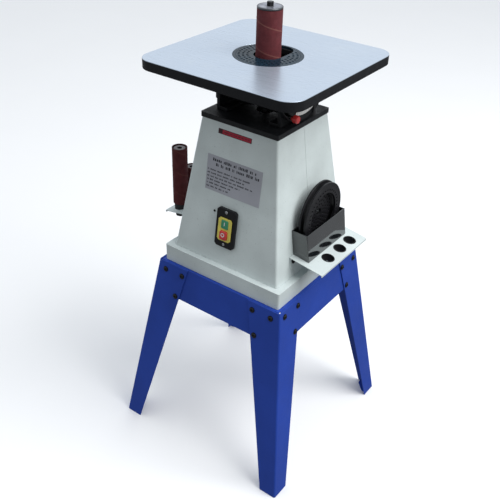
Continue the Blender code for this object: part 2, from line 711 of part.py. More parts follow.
def holder_outline(inset, top_z):
    """The holder's section in x and z: back and front run parallel to the wall."""
    back = GAP + inset
    front = HOLDER_DEPTH - inset
    points = []
    for offset, z in ((back, shelf_z_off_wall(back) + GAP + inset),
                      (front, shelf_z_off_wall(front) + GAP + inset), (front, top_z),
                      (back, top_z)):
        points.append((side_wall_x(z) + offset, z))
    return points


def make_insert_holder():
    """An open box on the right shelf, its back and front parallel to the cabinet's wall."""
    wall = HOLDER_WALL
    holder = add("insert_holder", prism_y(holder_outline(0.0, HOLDER_TOP_Z), HOLDER_FRONT_Y,
                                          HOLDER_REAR_Y), "black_plastic")
    cut(holder, prism_y(holder_outline(wall, HOLDER_TOP_Z + CUT_MARGIN), HOLDER_FRONT_Y + wall,
                        HOLDER_REAR_Y - wall))


def long_hole(z0, z1, r=HOLE_R):
    steps = ROUND_STEPS // 2
    outline = arc((0.0, 0.0), r, -pi, 0.0, steps) + arc((0.0, HOLE_REAR_Y), r, 0.0, pi, steps)
    return prism_z(outline, z0, z1)


def make_stored_inserts():
    """Two spare inserts standing upright on edge in the holder."""
    y = (HOLDER_FRONT_Y + HOLDER_REAR_Y) / 2.0
    for name, (offset, hole_r) in (("stored_insert_inner", INNER_SPARE),
                                   ("stored_insert_outer", OUTER_SPARE)):
        low_z = shelf_z_off_wall(offset) + HOLDER_WALL + 4.0 * GAP
        centre = (side_wall_x(low_z) + offset, y, low_z + INSERT_R)
        lift = axis_empty(f"{name}_lift", centre)
        place = Matrix.Translation(centre) @ Matrix.Rotation(pi / 2.0, 4, "Y")
        disc = rod(INSERT_R, 0.0, INSERT_THICK, ROUND_STEPS)
        hole = rod(hole_r, -CUT_MARGIN, INSERT_THICK + CUT_MARGIN, ROUND_STEPS)
        for bm in (disc, hole):
            bmesh.ops.transform(bm, matrix=place, verts=bm.verts)
        cut(add(name, disc, "black_plastic", lift, smooth=True), hole)


def make_stored_drums():
    """Spare drums standing in the left shelf's holes, each with its abrasive sleeve."""
    seat = shelf_top_z(SHELF_HOLE_X - SPARE_FLANGE_R) + 2.0 * GAP
    for name, y, (radius, flange, top) in (("large", LEFT_HOLES_Y[0], LARGE_SPARE),
                                           ("small", LEFT_HOLES_Y[1], SMALL_SPARE)):
        centre = (-SHELF_HOLE_X, y)
        lift = axis_empty(f"stored_{name}_lift", (*centre, seat))
        core_r = radius - SLEEVE_WALL - GAP
        low = seat + flange
        spigot_z = seat - SPIGOT_LENGTH
        core_top = top - SPARE_RECESS
        core = turned([(SPARE_BORE_R, spigot_z), (SPIGOT_R, spigot_z), (SPIGOT_R, seat),
                       (SPARE_FLANGE_R, seat), (SPARE_FLANGE_R, low), (core_r, low),
                       (core_r, core_top), (SPARE_BORE_R, core_top)], SMALL_STEPS, centre)
        add(f"stored_drum_{name}", core, "rubber", lift, smooth=True)
        sleeve = tube(core_r + GAP, radius, low + GAP, top, SMALL_STEPS + 4, centre)
        add(f"stored_sleeve_{name}", sleeve, "abrasive", lift, smooth=True)


# ---- table and tilt -------------------------------------------------------------------------
def yz_from_pivot(radius, angle):
    return radius * cos(angle), TILT_Z + radius * sin(angle)


def arc_band(r_in, r_out, start, end, steps=14):
    """A band of (y, z) points round the tilt axis."""
    outer = arc((0.0, TILT_Z), r_out, start, end, steps)
    inner = arc((0.0, TILT_Z), r_in, end, start, steps)
    return outer + inner


def slot_outline(end):
    """A trunnion's slot, level: an arc round the tilt axis with round ends."""
    start = end - TILT_MAX
    steps = TRUNNION_STEPS // 2
    half_turn = 6
    first = yz_from_pivot(SLOT_R, start)
    last = yz_from_pivot(SLOT_R, end)
    outer = arc((0.0, TILT_Z), SLOT_R + SLOT_HALF, start, end, steps)
    inner = arc((0.0, TILT_Z), SLOT_R - SLOT_HALF, end, start, steps)
    end_cap = arc(last, SLOT_HALF, end, end + pi, half_turn)[1:-1]
    start_cap = arc(first, SLOT_HALF, start + pi, start + 2.0 * pi, half_turn)[1:-1]
    return outer + end_cap + inner + start_cap


def make_table(tilt):
    top = TABLE_TOP_Z
    under = top - TABLE_PLATE
    rim_low = top - TABLE_RIM_HEIGHT
    inner_half = TABLE_HALF - TABLE_RIM_WIDTH
    outer = rounded_rectangle(TABLE_HALF, TABLE_HALF, TABLE_CORNER_R, TABLE_CORNER_STEPS)
    inner = rounded_rectangle(inner_half, inner_half, TABLE_CORNER_R - TABLE_RIM_WIDTH,
                              TABLE_CORNER_STEPS)
    table = add("table", prism_z(outer, rim_low, top), "ground_iron", tilt)
    cut(table, prism_z(inner, rim_low - CUT_MARGIN, under))
    join(table, tube(INSERT_LEDGE_R, INSERT_BOSS_R, under - INSERT_BOSS_DROP,
                     under + BOSS_OVERLAP))
    seat_z = top - INSERT_THICK - 2.0 * GAP
    cut(table, rod(INSERT_LEDGE_R, under - INSERT_BOSS_DROP - CUT_MARGIN, seat_z + SEAT_OVERLAP,
                   ROUND_STEPS))
    cut(table, rod(INSERT_SEAT_R, seat_z, top + CUT_MARGIN, ROUND_STEPS))
    lift = axis_empty("insert_lift", (0.0, 0.0, top), tilt)
    insert = add("table_insert", rod(INSERT_R, top - INSERT_THICK - GAP, top - GAP, ROUND_STEPS),
                 "black_plastic", lift, smooth=True)
    cut(insert, long_hole(top - INSERT_THICK - CUT_MARGIN, top + CUT_MARGIN))


def make_trunnions(tilt):
    """Round slotted plates under the table. The left one's front is cut off straight."""
    top = TABLE_TOP_Z - TABLE_PLATE - GAP
    for name, side, front, slot_end in (("left", -1, LEFT_FRONT_ANGLE, GUIDE_ANGLE),
                                        ("right", 1, -pi, STUD_ANGLE)):
        outline = arc((0.0, TILT_Z), TRUNNION_R, front, 0.0, TRUNNION_STEPS)
        outline += [(TRUNNION_R, top), (outline[0][0], top)]
        near = side * TRUNNION_IN_X
        far = side * TRUNNION_OUT_X
        plate = add(f"trunnion_{name}", prism_x(outline, near, far), "black_casting", tilt)
        slot = slot_outline(slot_end)
        cut(plate, prism_x(slot, near - side * CUT_MARGIN, far + side * CUT_MARGIN))
    band = arc_band(SCALE_R_IN, SCALE_R_OUT, SCALE_ANGLE_FROM, SCALE_ANGLE_TO)
    face = TRUNNION_OUT_X + GAP
    add("tilt_scale", prism_x(band, face, face + SCALE_THICK), "white_enamel", tilt)


def make_dust_shroud(tilt):
    """A trough under the table that catches the dust. The spindle comes up through its slot."""
    top = TABLE_TOP_Z - TABLE_PLATE - GAP
    steps = 20
    outline = arc((0.0, TILT_Z), SHROUD_R_OUT, -pi, 0.0, steps)
    outline += [(SHROUD_R_OUT, top), (SHROUD_R_IN, top)]
    outline += arc((0.0, TILT_Z), SHROUD_R_IN, 0.0, -pi, steps)
    outline += [(-SHROUD_R_IN, top), (-SHROUD_R_OUT, top)]
    shroud = add("dust_shroud", prism_x(outline, -SHROUD_HALF_X, SHROUD_HALF_X), "black_casting",
                 tilt)
    slot = arc_band(SHROUD_R_IN - CUT_MARGIN, SHROUD_R_OUT + CUT_MARGIN, SHROUD_SLOT_FROM,
                    SHROUD_SLOT_TO)
    cut(shroud, prism_x(slot, -SHROUD_SLOT_HALF, SHROUD_SLOT_HALF))


def make_saddles():
    """Fixed brackets on the cast top: a foot and an upright cheek beside each trunnion."""
    low = CASTING_TOP_Z + GAP
    for name, side in (("left", -1), ("right", 1)):
        cheek = [(-SADDLE_HALF_Y, low), (SADDLE_HALF_Y, low), (SADDLE_HALF_Y, SADDLE_REAR_Z),
                 (SADDLE_SHOULDER_REAR_Y, SADDLE_SHOULDER_Z), (0.0, SADDLE_NOTCH_Z),
                 (SADDLE_SHOULDER_FRONT_Y, SADDLE_SHOULDER_Z), (SADDLE_CREST_REAR_Y, SADDLE_TOP_Z),
                 (SADDLE_CREST_FRONT_Y, SADDLE_TOP_Z), (-SADDLE_HALF_Y, SADDLE_FRONT_Z)]
        saddle = add(f"saddle_{name}", prism_x(cheek, side * SADDLE_IN_X, side * SADDLE_OUT_X),
                     "black_casting")
        foot_in = side * (SADDLE_IN_X - SADDLE_FOOT_WIDTH)
        foot = box((min(foot_in, side * SADDLE_OUT_X), -SADDLE_HALF_Y, low),
                   (max(foot_in, side * SADDLE_OUT_X), SADDLE_HALF_Y, low + SADDLE_FOOT))
        join(saddle, foot)


def make_locks():
    """Through the trunnions' slots: a lock stud and its knob on the right, a bolt on the left."""
    y, z = yz_from_pivot(SLOT_R, STUD_ANGLE)
    start = SADDLE_OUT_X + GAP
    end = KNOB_IN_X + KNOB_LENGTH - KNOB_END
    add("lock_stud_right", rod_x(STUD_R, start, end, y, z, 12), "steel", smooth=True)
    make_lock_knob(y, z, end + GAP)
    y, z = yz_from_pivot(SLOT_R, GUIDE_ANGLE)
    head = TRUNNION_OUT_X + 2.0 * GAP
    bolt = add("guide_bolt_left", rod_x(STUD_R, -start, -head - GUIDE_HEAD / 2.0, y, z, 12),
               "blackened_steel")
    join(bolt, rod_x(GUIDE_HEAD_R, -head, -head - GUIDE_HEAD, y, z, 6))


def make_lock_knob(y, z, bore_end):
    """A lobed knob, blind at its outer end."""
    turn = axis_empty("lock_knob_right_turn", (KNOB_IN_X, y, z))
    steps = KNOB_LOBES * 6
    angles = [2.0 * pi * k / steps for k in range(steps)]
    radii = [KNOB_R * (1.0 - KNOB_FLUTE * (0.5 + 0.5 * cos(KNOB_LOBES * a))) for a in angles]
    rings = []
    for along, scale in KNOB_PROFILE:
        rings.append([(KNOB_IN_X + along, y + r * scale * cos(a), z + r * scale * sin(a))
                      for a, r in zip(angles, radii)])
    knob = add("lock_knob_right", loft(rings), "red_plastic", turn, smooth=True)
    cut(knob, rod_x(STUD_R + GAP, KNOB_IN_X - CUT_MARGIN, bore_end, y, z, 12))


def make_pointer():
    """A small upright pointer beside the tilt scale."""
    y, z = yz_from_pivot(SCALE_R_IN + POINTER_LAP, POINTER_ANGLE)
    low = CASTING_TOP_Z + GAP
    shoulder_z = z - POINTER_TIP
    foot_front, foot_rear = POINTER_FOOT_Y
    front, rear = POINTER_SHOULDER_Y
    outline = [(y + foot_front, low), (y + foot_rear, low), (y + rear, shoulder_z), (y, z),
               (y + front, shoulder_z)]
    x0 = TRUNNION_OUT_X + SCALE_THICK + 3.0 * GAP
    add("tilt_pointer", prism_x(outline, x0, x0 + POINTER_THICK), "blackened_steel")


# ---- spindle --------------------------------------------------------------------------------
def make_spindle(spin):
    washer_low = DRUM_TOP_Z + GAP
    washer_top = washer_low + WASHER_THICK
    lower_top = DRUM_BOTTOM_Z - GAP
    lower_low = lower_top - WASHER_THICK
    shaft = turned([(0.0, SHAFT_BOTTOM_Z), (SHAFT_R, SHAFT_BOTTOM_Z), (SHAFT_R, COLLAR_BOTTOM_Z),
                    (COLLAR_R, COLLAR_BOTTOM_Z + COLLAR_TAPER), (COLLAR_R, lower_low - GAP),
                    (SHAFT_R, lower_low - GAP), (SHAFT_R, DRUM_TOP_Z - SHAFT_SHOULDER_DROP),
                    (THREAD_R, DRUM_TOP_Z - THREAD_START_DROP), (THREAD_R, THREAD_TOP_Z - EDGE),
                    (THREAD_R - EDGE, THREAD_TOP_Z), (0.0, THREAD_TOP_Z)], SMALL_STEPS)
    add("spindle_shaft", shaft, "steel", spin, smooth=True)
    bore = SHAFT_R + GAP
    add("lower_drum_washer", tube(bore, SLEEVE_R, lower_low, lower_top), "zinc_washer", spin,
        smooth=True)
    add("rubber_drum", tube(bore, DRUM_R, DRUM_BOTTOM_Z, DRUM_TOP_Z), "rubber", spin, smooth=True)
    sleeve = tube(SLEEVE_R - SLEEVE_WALL, SLEEVE_R, DRUM_BOTTOM_Z, DRUM_TOP_Z - SLEEVE_DROP)
    add("sanding_sleeve", sleeve, "abrasive", spin, smooth=True)
    thread_bore = THREAD_R + GAP
    washer = turned([(thread_bore, washer_low), (SLEEVE_R, washer_low),
                     (SLEEVE_R, washer_top - EDGE), (SLEEVE_R - EDGE, washer_top),
                     (thread_bore, washer_top)])
    add("drum_washer", washer, "zinc_washer", spin, smooth=True)
    corner_r = NUT_FLATS / sqrt(3.0)
    nut_low = washer_top + GAP
    nut = add("drum_nut", rod(corner_r, nut_low, nut_low + NUT_HEIGHT, 6), "blackened_steel", spin)
    cut(nut, rod(thread_bore, nut_low - CUT_MARGIN, nut_low + NUT_HEIGHT + CUT_MARGIN, 16))
    add("rotor_core", tube(bore, ROTOR_R, CORE_BOTTOM_Z, CORE_TOP_Z, 32), "lamination", spin,
        smooth=True)
    make_worm(spin)


def make_worm(spin):
    """A single-start worm: one helical ridge on a sleeve that is keyed to the shaft."""
    pitch = pi * (WHEEL_ROOT_R + WHEEL_TIP_R) / WHEEL_TEETH
    rows = round(2.0 * WORM_HALF / pitch * WORM_ROWS)
    bm = bmesh.new()
    bore = SHAFT_R + GAP
    low = WORM_Z - WORM_HALF

    def ring(radius_of, z):
        points = []
        for k in range(WORM_SIDES):
            angle = 2.0 * pi * k / WORM_SIDES
            r = radius_of(angle, z)
            points.append(bm.verts.new((r * cos(angle), r * sin(angle), z)))
        return points

    def ridge(angle, z):
        phase = ((z - low) / pitch - angle / (2.0 * pi)) % 1.0
        height = max(0.0, 1.0 - abs(phase - 0.5) * WORM_FLANK)
        return WORM_ROOT_R + (WORM_TIP_R - WORM_ROOT_R) * min(1.0, WORM_CROWN * height)

    outer = [ring(ridge, low + 2.0 * WORM_HALF * i / rows) for i in range(rows + 1)]
    inner = [ring(lambda angle, z: bore, z) for z in (WORM_Z + WORM_HALF, low)]
    loops = outer + inner
    for i, first in enumerate(loops):
        second = loops[(i + 1) % len(loops)]
        for k in range(WORM_SIDES):
            j = (k + 1) % WORM_SIDES
            bm.faces.new((first[k], first[j], second[j], second[k]))
    bmesh.ops.triangulate(bm, faces=bm.faces)
    add("worm", bm, "steel", spin, smooth=True)


# ---- motor on its guide columns -------------------------------------------------------------
def lug(side, z0, z1):
    x0 = side * (MOTOR_R - LUG_ROOT)
    x1 = side * LUG_END_X
    return box((min(x0, x1), -LUG_HALF_Y, z0), (max(x0, x1), LUG_HALF_Y, z1))


def make_end_bell(name, face_z, direction, carriage):
    """An end shield: a dished disc with a bearing pocket and a bored lug for each column."""
    outer_z = face_z + direction * BELL_HEIGHT
    shoulder_z = face_z + direction * (BELL_HEIGHT - BELL_SHOULDER)
    pocket_z = outer_z - direction * BELL_FACE
    shaft_hole = SHAFT_R + BELL_SHAFT_CLEAR
    pocket_r = BEARING_R + GAP
    profile = [(shaft_hole, outer_z), (MOTOR_R - BELL_SHOULDER, outer_z), (MOTOR_R, shoulder_z),
               (MOTOR_R, face_z), (pocket_r, face_z), (pocket_r, pocket_z), (shaft_hole, pocket_z)]
    bell = add(name, turned(profile), "aluminium", carriage, smooth=True)
    z0, z1 = sorted((face_z, outer_z))
    for side in (-1, 1):
        join(bell, lug(side, z0 + EDGE, z1 - EDGE))
        cut(bell, rod(COLUMN_R + GAP, z0 - CUT_MARGIN, z1 + CUT_MARGIN, SMALL_STEPS,
                      (side * COLUMN_X, 0.0)))
    return pocket_z


def make_motor(carriage):
    add("motor_casing", tube(MOTOR_R - MOTOR_WALL, MOTOR_R, MOTOR_BOTTOM_Z, MOTOR_TOP_Z),
        "aluminium", carriage, smooth=True)
    add("stator_core", tube(STATOR_IN_R, MOTOR_R - MOTOR_WALL - GAP, CORE_BOTTOM_Z, CORE_TOP_Z),
        "lamination", carriage, smooth=True)
    for place, face_z, direction in (("upper", MOTOR_TOP_Z + GAP, 1),
                                     ("lower", MOTOR_BOTTOM_Z - GAP, -1)):
        pocket_z = make_end_bell(f"{place}_end_bell", face_z, direction, carriage)
        seat = pocket_z - direction * GAP
        z0, z1 = sorted((seat, seat - direction * BEARING_HEIGHT))
        add(f"{place}_bearing", tube(SHAFT_R + GAP, BEARING_R, z0, z1, 28), "steel", carriage,
            smooth=True)


def make_columns():
    for name, side in (("left", -1), ("right", 1)):
        column = rod(COLUMN_R, BASE_TOP_Z + GAP, CABINET_TOP_Z - GAP, SMALL_STEPS,
                     (side * COLUMN_X, 0.0))
        add(f"guide_column_{name}", column, "steel", smooth=True)


# ---- oscillating drive ----------------------------------------------------------------------
def make_gearbox(carriage):
    """An open-bottomed housing under the lower end bell, round the worm and its wheel."""
    top = MOTOR_BOTTOM_Z - GAP - BELL_HEIGHT - GAP
    wall = GEARBOX_WALL
    left, right = GEARBOX_X
    front, rear = GEARBOX_Y
    housing = add("gearbox_housing", box((left, front, GEARBOX_BOTTOM_Z), (right, rear, top)),
                  "aluminium", carriage)
    cut(housing, box((left + wall, front + wall, GEARBOX_BOTTOM_Z - CUT_MARGIN),
                     (right - wall, rear - wall, top - wall)))
    cut(housing, rod(SHAFT_R + GEARBOX_SHAFT_CLEAR, top - 2.0 * wall, top + CUT_MARGIN))
    cut(housing, rod_x(AXLE_R + GAP, left - CUT_MARGIN, right + CUT_MARGIN, WHEEL_Y, WORM_Z))


def make_worm_wheel(turn):
    outline = []
    tooth = 2.0 * pi / WHEEL_TEETH
    for k in range(WHEEL_TEETH):
        for share, radius in ((0.00, WHEEL_ROOT_R), (0.34, WHEEL_ROOT_R), (0.52, WHEEL_TIP_R),
                              (0.82, WHEEL_TIP_R)):
            angle = (k + share) * tooth
            outline.append((WHEEL_Y + radius * cos(angle), WORM_Z + radius * sin(angle)))
    wheel = add("worm_wheel", prism_x(outline, -WHEEL_HALF, WHEEL_HALF), "bronze", turn)
    cut(wheel, rod_x(AXLE_R + GAP, -2.0 * WHEEL_HALF, 2.0 * WHEEL_HALF, WHEEL_Y, WORM_Z))


def make_crank(turn):
    """The wheel's axle, with the crank disc and its pin on one end."""
    axle = add("crank", rod_x(AXLE_R, AXLE_END_X, CRANK_X + CRANK_THICK / 2.0, WHEEL_Y, WORM_Z),
               "steel", turn, smooth=True)
    disc = rod_x(CRANK_DISC_R, CRANK_X, CRANK_X + CRANK_THICK, WHEEL_Y, WORM_Z, 28)
    pin = rod_x(PIN_R, CRANK_X + CRANK_THICK / 2.0, ROD_X + ROD_THICK + PIN_PROUD, WHEEL_Y,
                WORM_Z + CRANK_THROW)
    join(axle, disc, pin)


def make_connecting_rod(swing):
    """The rod hangs straight down from the crank pin, with its lower pin through its lower eye."""
    top_z = WORM_Z + CRANK_THROW
    steps = 14
    rear = WHEEL_Y + ROD_SHANK_HALF
    front = WHEEL_Y - ROD_SHANK_HALF
    outline = arc((WHEEL_Y, top_z), ROD_EYE_R, 0.0, pi, steps)
    outline += [(front, top_z - ROD_NECK), (front, ANCHOR_Z + ROD_NECK)]
    outline += arc((WHEEL_Y, ANCHOR_Z), ROD_EYE_R, pi, 2.0 * pi, steps)
    outline += [(rear, ANCHOR_Z + ROD_NECK), (rear, top_z - ROD_NECK)]
    body = add("connecting_rod", prism_x(outline, ROD_X, ROD_X + ROD_THICK), "steel", swing)
    cut(body, rod_x(PIN_R + GAP, ROD_X - CUT_MARGIN, ROD_X + ROD_THICK + CUT_MARGIN, WHEEL_Y,
                    top_z))
    join(body, rod_x(PIN_R, ROD_X - PIN_PROUD, ROD_X + ROD_THICK + PIN_PROUD, WHEEL_Y, ANCHOR_Z))


def make_rod_anchor():
    """A fork on the base pan for the rod's lower pin. Its cheeks stand clear of the pin's ends."""
    low = BASE_TOP_Z + GAP
    thick = ANCHOR_THICK
    inner0 = ROD_X - ANCHOR_CLEAR
    inner1 = ROD_X + ROD_THICK + ANCHOR_CLEAR
    high = ANCHOR_Z + ANCHOR_RISE
    floor = low + ANCHOR_FLOOR
    outline = [(inner0 - thick, low), (inner1 + thick, low), (inner1 + thick, high), (inner1, high),
               (inner1, floor), (inner0, floor), (inner0, high), (inner0 - thick, high)]
    fork = add("rod_anchor", prism_y(outline, WHEEL_Y - ANCHOR_HALF_Y, WHEEL_Y + ANCHOR_HALF_Y),
               "black_casting")
    cut(fork, rod_x(PIN_R + GAP, inner0 - 2.0 * thick, inner1 + 2.0 * thick, WHEEL_Y, ANCHOR_Z))


# ---- assembly -------------------------------------------------------------------------------
def main():
    clear_scene()
    make_stand()
    make_base_pan()
    make_cabinet()
    make_switch()
    make_shelf("shelf_right", 1, RIGHT_HOLES_Y)
    make_shelf("shelf_left", -1, LEFT_HOLES_Y)
    make_insert_holder()
    make_stored_inserts()
    make_stored_drums()
    tilt = axis_empty("table_tilt_axis", (0.0, 0.0, TILT_Z))
    make_table(tilt)
    make_trunnions(tilt)
    make_dust_shroud(tilt)
    make_saddles()
    make_locks()
    make_pointer()
    make_columns()
    carriage = axis_empty("motor_slide_axis", (0.0, 0.0, MOTOR_BOTTOM_Z))
    make_motor(carriage)
    make_gearbox(carriage)
    spin = axis_empty("spindle_axis", (0.0, 0.0, MOTOR_TOP_Z), carriage)
    make_spindle(spin)
    turn = axis_empty("crank_axis", (0.0, WHEEL_Y, WORM_Z), carriage)
    make_worm_wheel(turn)
    make_crank(turn)
    swing = axis_empty("rod_axis", (0.0, WHEEL_Y, WORM_Z + CRANK_THROW), turn)
    make_connecting_rod(swing)
    make_rod_anchor()


main()
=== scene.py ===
import json
import random
from math import atan2, cos, pi, radians, sin

import bmesh
import bpy
from mathutils import Matrix, Vector


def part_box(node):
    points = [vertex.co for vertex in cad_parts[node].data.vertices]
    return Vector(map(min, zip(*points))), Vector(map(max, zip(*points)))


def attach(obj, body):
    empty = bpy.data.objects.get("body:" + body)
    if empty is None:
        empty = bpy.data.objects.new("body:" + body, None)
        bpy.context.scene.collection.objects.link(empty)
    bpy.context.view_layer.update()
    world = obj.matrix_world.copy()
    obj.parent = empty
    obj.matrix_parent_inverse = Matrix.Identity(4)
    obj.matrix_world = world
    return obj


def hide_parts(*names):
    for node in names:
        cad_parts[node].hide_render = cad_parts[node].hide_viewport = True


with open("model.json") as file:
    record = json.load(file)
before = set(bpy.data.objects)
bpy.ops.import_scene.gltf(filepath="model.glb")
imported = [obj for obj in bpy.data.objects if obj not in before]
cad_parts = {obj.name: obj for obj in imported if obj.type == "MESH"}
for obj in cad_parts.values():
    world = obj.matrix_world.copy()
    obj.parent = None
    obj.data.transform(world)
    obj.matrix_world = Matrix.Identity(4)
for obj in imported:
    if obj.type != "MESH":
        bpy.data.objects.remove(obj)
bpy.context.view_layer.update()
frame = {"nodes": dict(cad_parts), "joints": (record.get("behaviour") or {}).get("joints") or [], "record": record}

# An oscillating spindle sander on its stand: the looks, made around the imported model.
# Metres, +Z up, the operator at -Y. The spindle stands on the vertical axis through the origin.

NODES = frame["nodes"]
SPARE_DRUMS = ("large", "small")
SPARE_INSERTS = ("inner", "outer")

# ---- camera ---------------------------------------------------------------------------------
CAMERA_TARGET = Vector((-0.0229, -0.0063, 0.4575))
CAMERA_AZIMUTH = radians(35.36)
CAMERA_ELEVATION = radians(33.25)
CAMERA_ROLL = radians(1.98)
CAMERA_DISTANCE = 1.6977
CAMERA_LENS = 52.78
CAMERA_REACH = 20.0


def make_camera():
    back = Vector((sin(CAMERA_AZIMUTH) * cos(CAMERA_ELEVATION),
                   -cos(CAMERA_AZIMUTH) * cos(CAMERA_ELEVATION),
                   sin(CAMERA_ELEVATION)))
    turn = back.to_track_quat("Z", "Y").to_matrix().to_4x4() @ Matrix.Rotation(CAMERA_ROLL, 4, "Z")
    data = bpy.data.cameras.new("camera")
    data.lens = CAMERA_LENS
    data.clip_end = CAMERA_REACH
    camera = bpy.data.objects.new("camera", data)
    camera.matrix_world = Matrix.Translation(CAMERA_TARGET + back * CAMERA_DISTANCE) @ turn
    bpy.context.scene.collection.objects.link(camera)
    bpy.context.scene.camera = camera


# ---- studio ---------------------------------------------------------------------------------
FLOOR_HALF = 8.0
FLOOR_Z = -0.0005             # just under the feet
FLOOR_GREYS = (0.925, 0.945)
KEY_PLACE = Vector((2.1, 0.35, 3.0))
KEY_AIM = Vector((0.0, 0.0, 0.5))
KEY_SIZE = 2.4
KEY_POWER = 104.0
SKY_TOWARD = (-0.52, 0.38, 0.77)    # the sky is brightest this way
SKY_STOPS = ((0.0, (0.30, 0.31, 0.32)), (0.9, (1.02, 1.07, 1.13)))


def make_key_light():
    """A broad light from above and the right."""
    data = bpy.data.lights.new("key_light", "AREA")
    data.size = KEY_SIZE
    data.energy = KEY_POWER
    light = bpy.data.objects.new("key_light", data)
    light.location = KEY_PLACE
    light.rotation_euler = (KEY_PLACE - KEY_AIM).to_track_quat("Z", "Y").to_euler()
    light.visible_camera = False
    bpy.context.scene.collection.objects.link(light)


def make_sky():
    """A sky that is brightest up and to the rear left."""
    bpy.context.scene.view_settings.view_transform = "Standard"
    world = bpy.data.worlds.new("studio")
    world.use_nodes = True
    nodes = world.node_tree.nodes
    links = world.node_tree.links
    where = nodes.new("ShaderNodeTexCoord")
    toward = nodes.new("ShaderNodeVectorMath")
    toward.operation = "DOT_PRODUCT"
    toward.inputs[1].default_value = SKY_TOWARD
    ramp = nodes.new("ShaderNodeValToRGB")
    ramp.color_ramp.interpolation = "EASE"
    for element, (position, colour) in zip(ramp.color_ramp.elements, SKY_STOPS):
        element.position = position
        element.color = (*colour, 1.0)
    links.new(where.outputs["Generated"], toward.inputs[0])
    links.new(toward.outputs["Value"], ramp.inputs["Fac"])
    links.new(ramp.outputs["Color"], nodes["Background"].inputs["Color"])
    nodes["Background"].inputs["Strength"].default_value = 1.0
    bpy.context.scene.world = world


def make_floor():
    """A pale floor that the camera sees, hidden from diffuse and glossy rays."""
    bm = bmesh.new()
    corners = [(-FLOOR_HALF, -FLOOR_HALF), (FLOOR_HALF, -FLOOR_HALF), (FLOOR_HALF, FLOOR_HALF),
               (-FLOOR_HALF, FLOOR_HALF)]
    bm.faces.new([bm.verts.new((x, y, FLOOR_Z)) for x, y in corners])
    paint = Finish("floor_paint", (0.93, 0.93, 0.93), 0.9)
    dark, light = ((grey, grey, grey) for grey in FLOOR_GREYS)
    paint.colours(paint.noise(3.0, detail=3.0), dark, light)
    floor = new_object("studio_floor", bm, paint)
    floor.visible_diffuse = False
    floor.visible_glossy = False


# ---- finishes -------------------------------------------------------------------------------
NOISE_WIDE = (0.30, 0.70)     # most of a noise's values lie in here,
NOISE_MIDDLE = (0.35, 0.65)   # and this narrower band gives more contrast


class Finish:
    """One material: its shader, and short ways to add detail to it."""

    def __init__(self, name, colour, roughness, metallic=0.0, specular=0.5, coat=0.0,
                 coat_roughness=0.1):
        self.material = bpy.data.materials.new(name)
        self.material.use_nodes = True
        self.nodes = self.material.node_tree.nodes
        self.shader = self.nodes["Principled BSDF"]
        self.height = None
        self.set("Base Color", (*colour, 1.0))
        self.set("Roughness", roughness)
        self.set("Metallic", metallic)
        self.set("Specular IOR Level", specular)
        self.set("Coat Weight", coat)
        self.set("Coat Roughness", coat_roughness)
        self.where = self.nodes.new("ShaderNodeTexCoord").outputs["Object"]

    def set(self, socket, value):
        self.shader.inputs[socket].default_value = value

    def link(self, start, end):
        self.material.node_tree.links.new(start, end)

    def wire(self, node, index, value):
        """Sets an input to a number, or links it from another node's output."""
        if isinstance(value, (int, float)):
            node.inputs[index].default_value = value
        else:
            self.link(value, node.inputs[index])

    def math(self, operation, a, b=0.0):
        node = self.nodes.new("ShaderNodeMath")
        node.operation = operation
        self.wire(node, 0, a)
        self.wire(node, 1, b)
        return node.outputs[0]

    def stretched(self, scale):
        """Object coordinates multiplied by a different number along each axis."""
        node = self.nodes.new("ShaderNodeMapping")
        node.inputs["Scale"].default_value = scale
        self.link(self.where, node.inputs["Vector"])
        return node.outputs["Vector"]

    def axes(self):
        node = self.nodes.new("ShaderNodeSeparateXYZ")
        self.link(self.where, node.inputs[0])
        return node.outputs

    def noise(self, scale, detail=2.0, roughness=0.5, vector=None):
        node = self.nodes.new("ShaderNodeTexNoise")
        node.inputs["Scale"].default_value = scale
        node.inputs["Detail"].default_value = detail
        node.inputs["Roughness"].default_value = roughness
        self.link(vector or self.where, node.inputs["Vector"])
        return node.outputs["Fac"]

    def grains(self, scale):
        """Distance to the nearest of many scattered points."""
        node = self.nodes.new("ShaderNodeTexVoronoi")
        node.inputs["Scale"].default_value = scale
        self.link(self.where, node.inputs["Vector"])
        return node.outputs["Distance"]

    def spread(self, value, low, high, to_low=0.0, to_high=1.0):
        """Maps low...high to to_low...to_high, and clamps what lies outside."""
        node = self.nodes.new("ShaderNodeMapRange")
        self.link(value, node.inputs["Value"])
        for socket, number in (("From Min", low), ("From Max", high), ("To Min", to_low),
                               ("To Max", to_high)):
            node.inputs[socket].default_value = number
        return node.outputs["Result"]

    def mix(self, factor, first, second):
        """Blends two colours. Each is a triple or another node's output."""
        node = self.nodes.new("ShaderNodeMix")
        node.data_type = "RGBA"
        self.link(factor, node.inputs["Factor"])
        for index, colour in ((6, first), (7, second)):
            if isinstance(colour, tuple):
                node.inputs[index].default_value = (*colour, 1.0)
            else:
                self.link(colour, node.inputs[index])
        return node.outputs[2]

    def colours(self, factor, first, second):
        self.link(self.mix(factor, first, second), self.shader.inputs["Base Color"])

    def roughnesses(self, value, low, high):
        self.link(self.spread(value, *NOISE_WIDE, low, high), self.shader.inputs["Roughness"])

    def bump(self, height, depth, strength=1.0):
        """Adds relief of a depth in metres, on top of any relief already there."""
        node = self.nodes.new("ShaderNodeBump")
        node.inputs["Distance"].default_value = depth
        node.inputs["Strength"].default_value = strength
        self.link(height, node.inputs["Height"])
        if self.height:
            self.link(self.height, node.inputs["Normal"])
        self.height = node.outputs["Normal"]
        self.link(self.height, self.shader.inputs["Normal"])


def tinted(colour, factor):
    return tuple(min(1.0, c * factor) for c in colour)


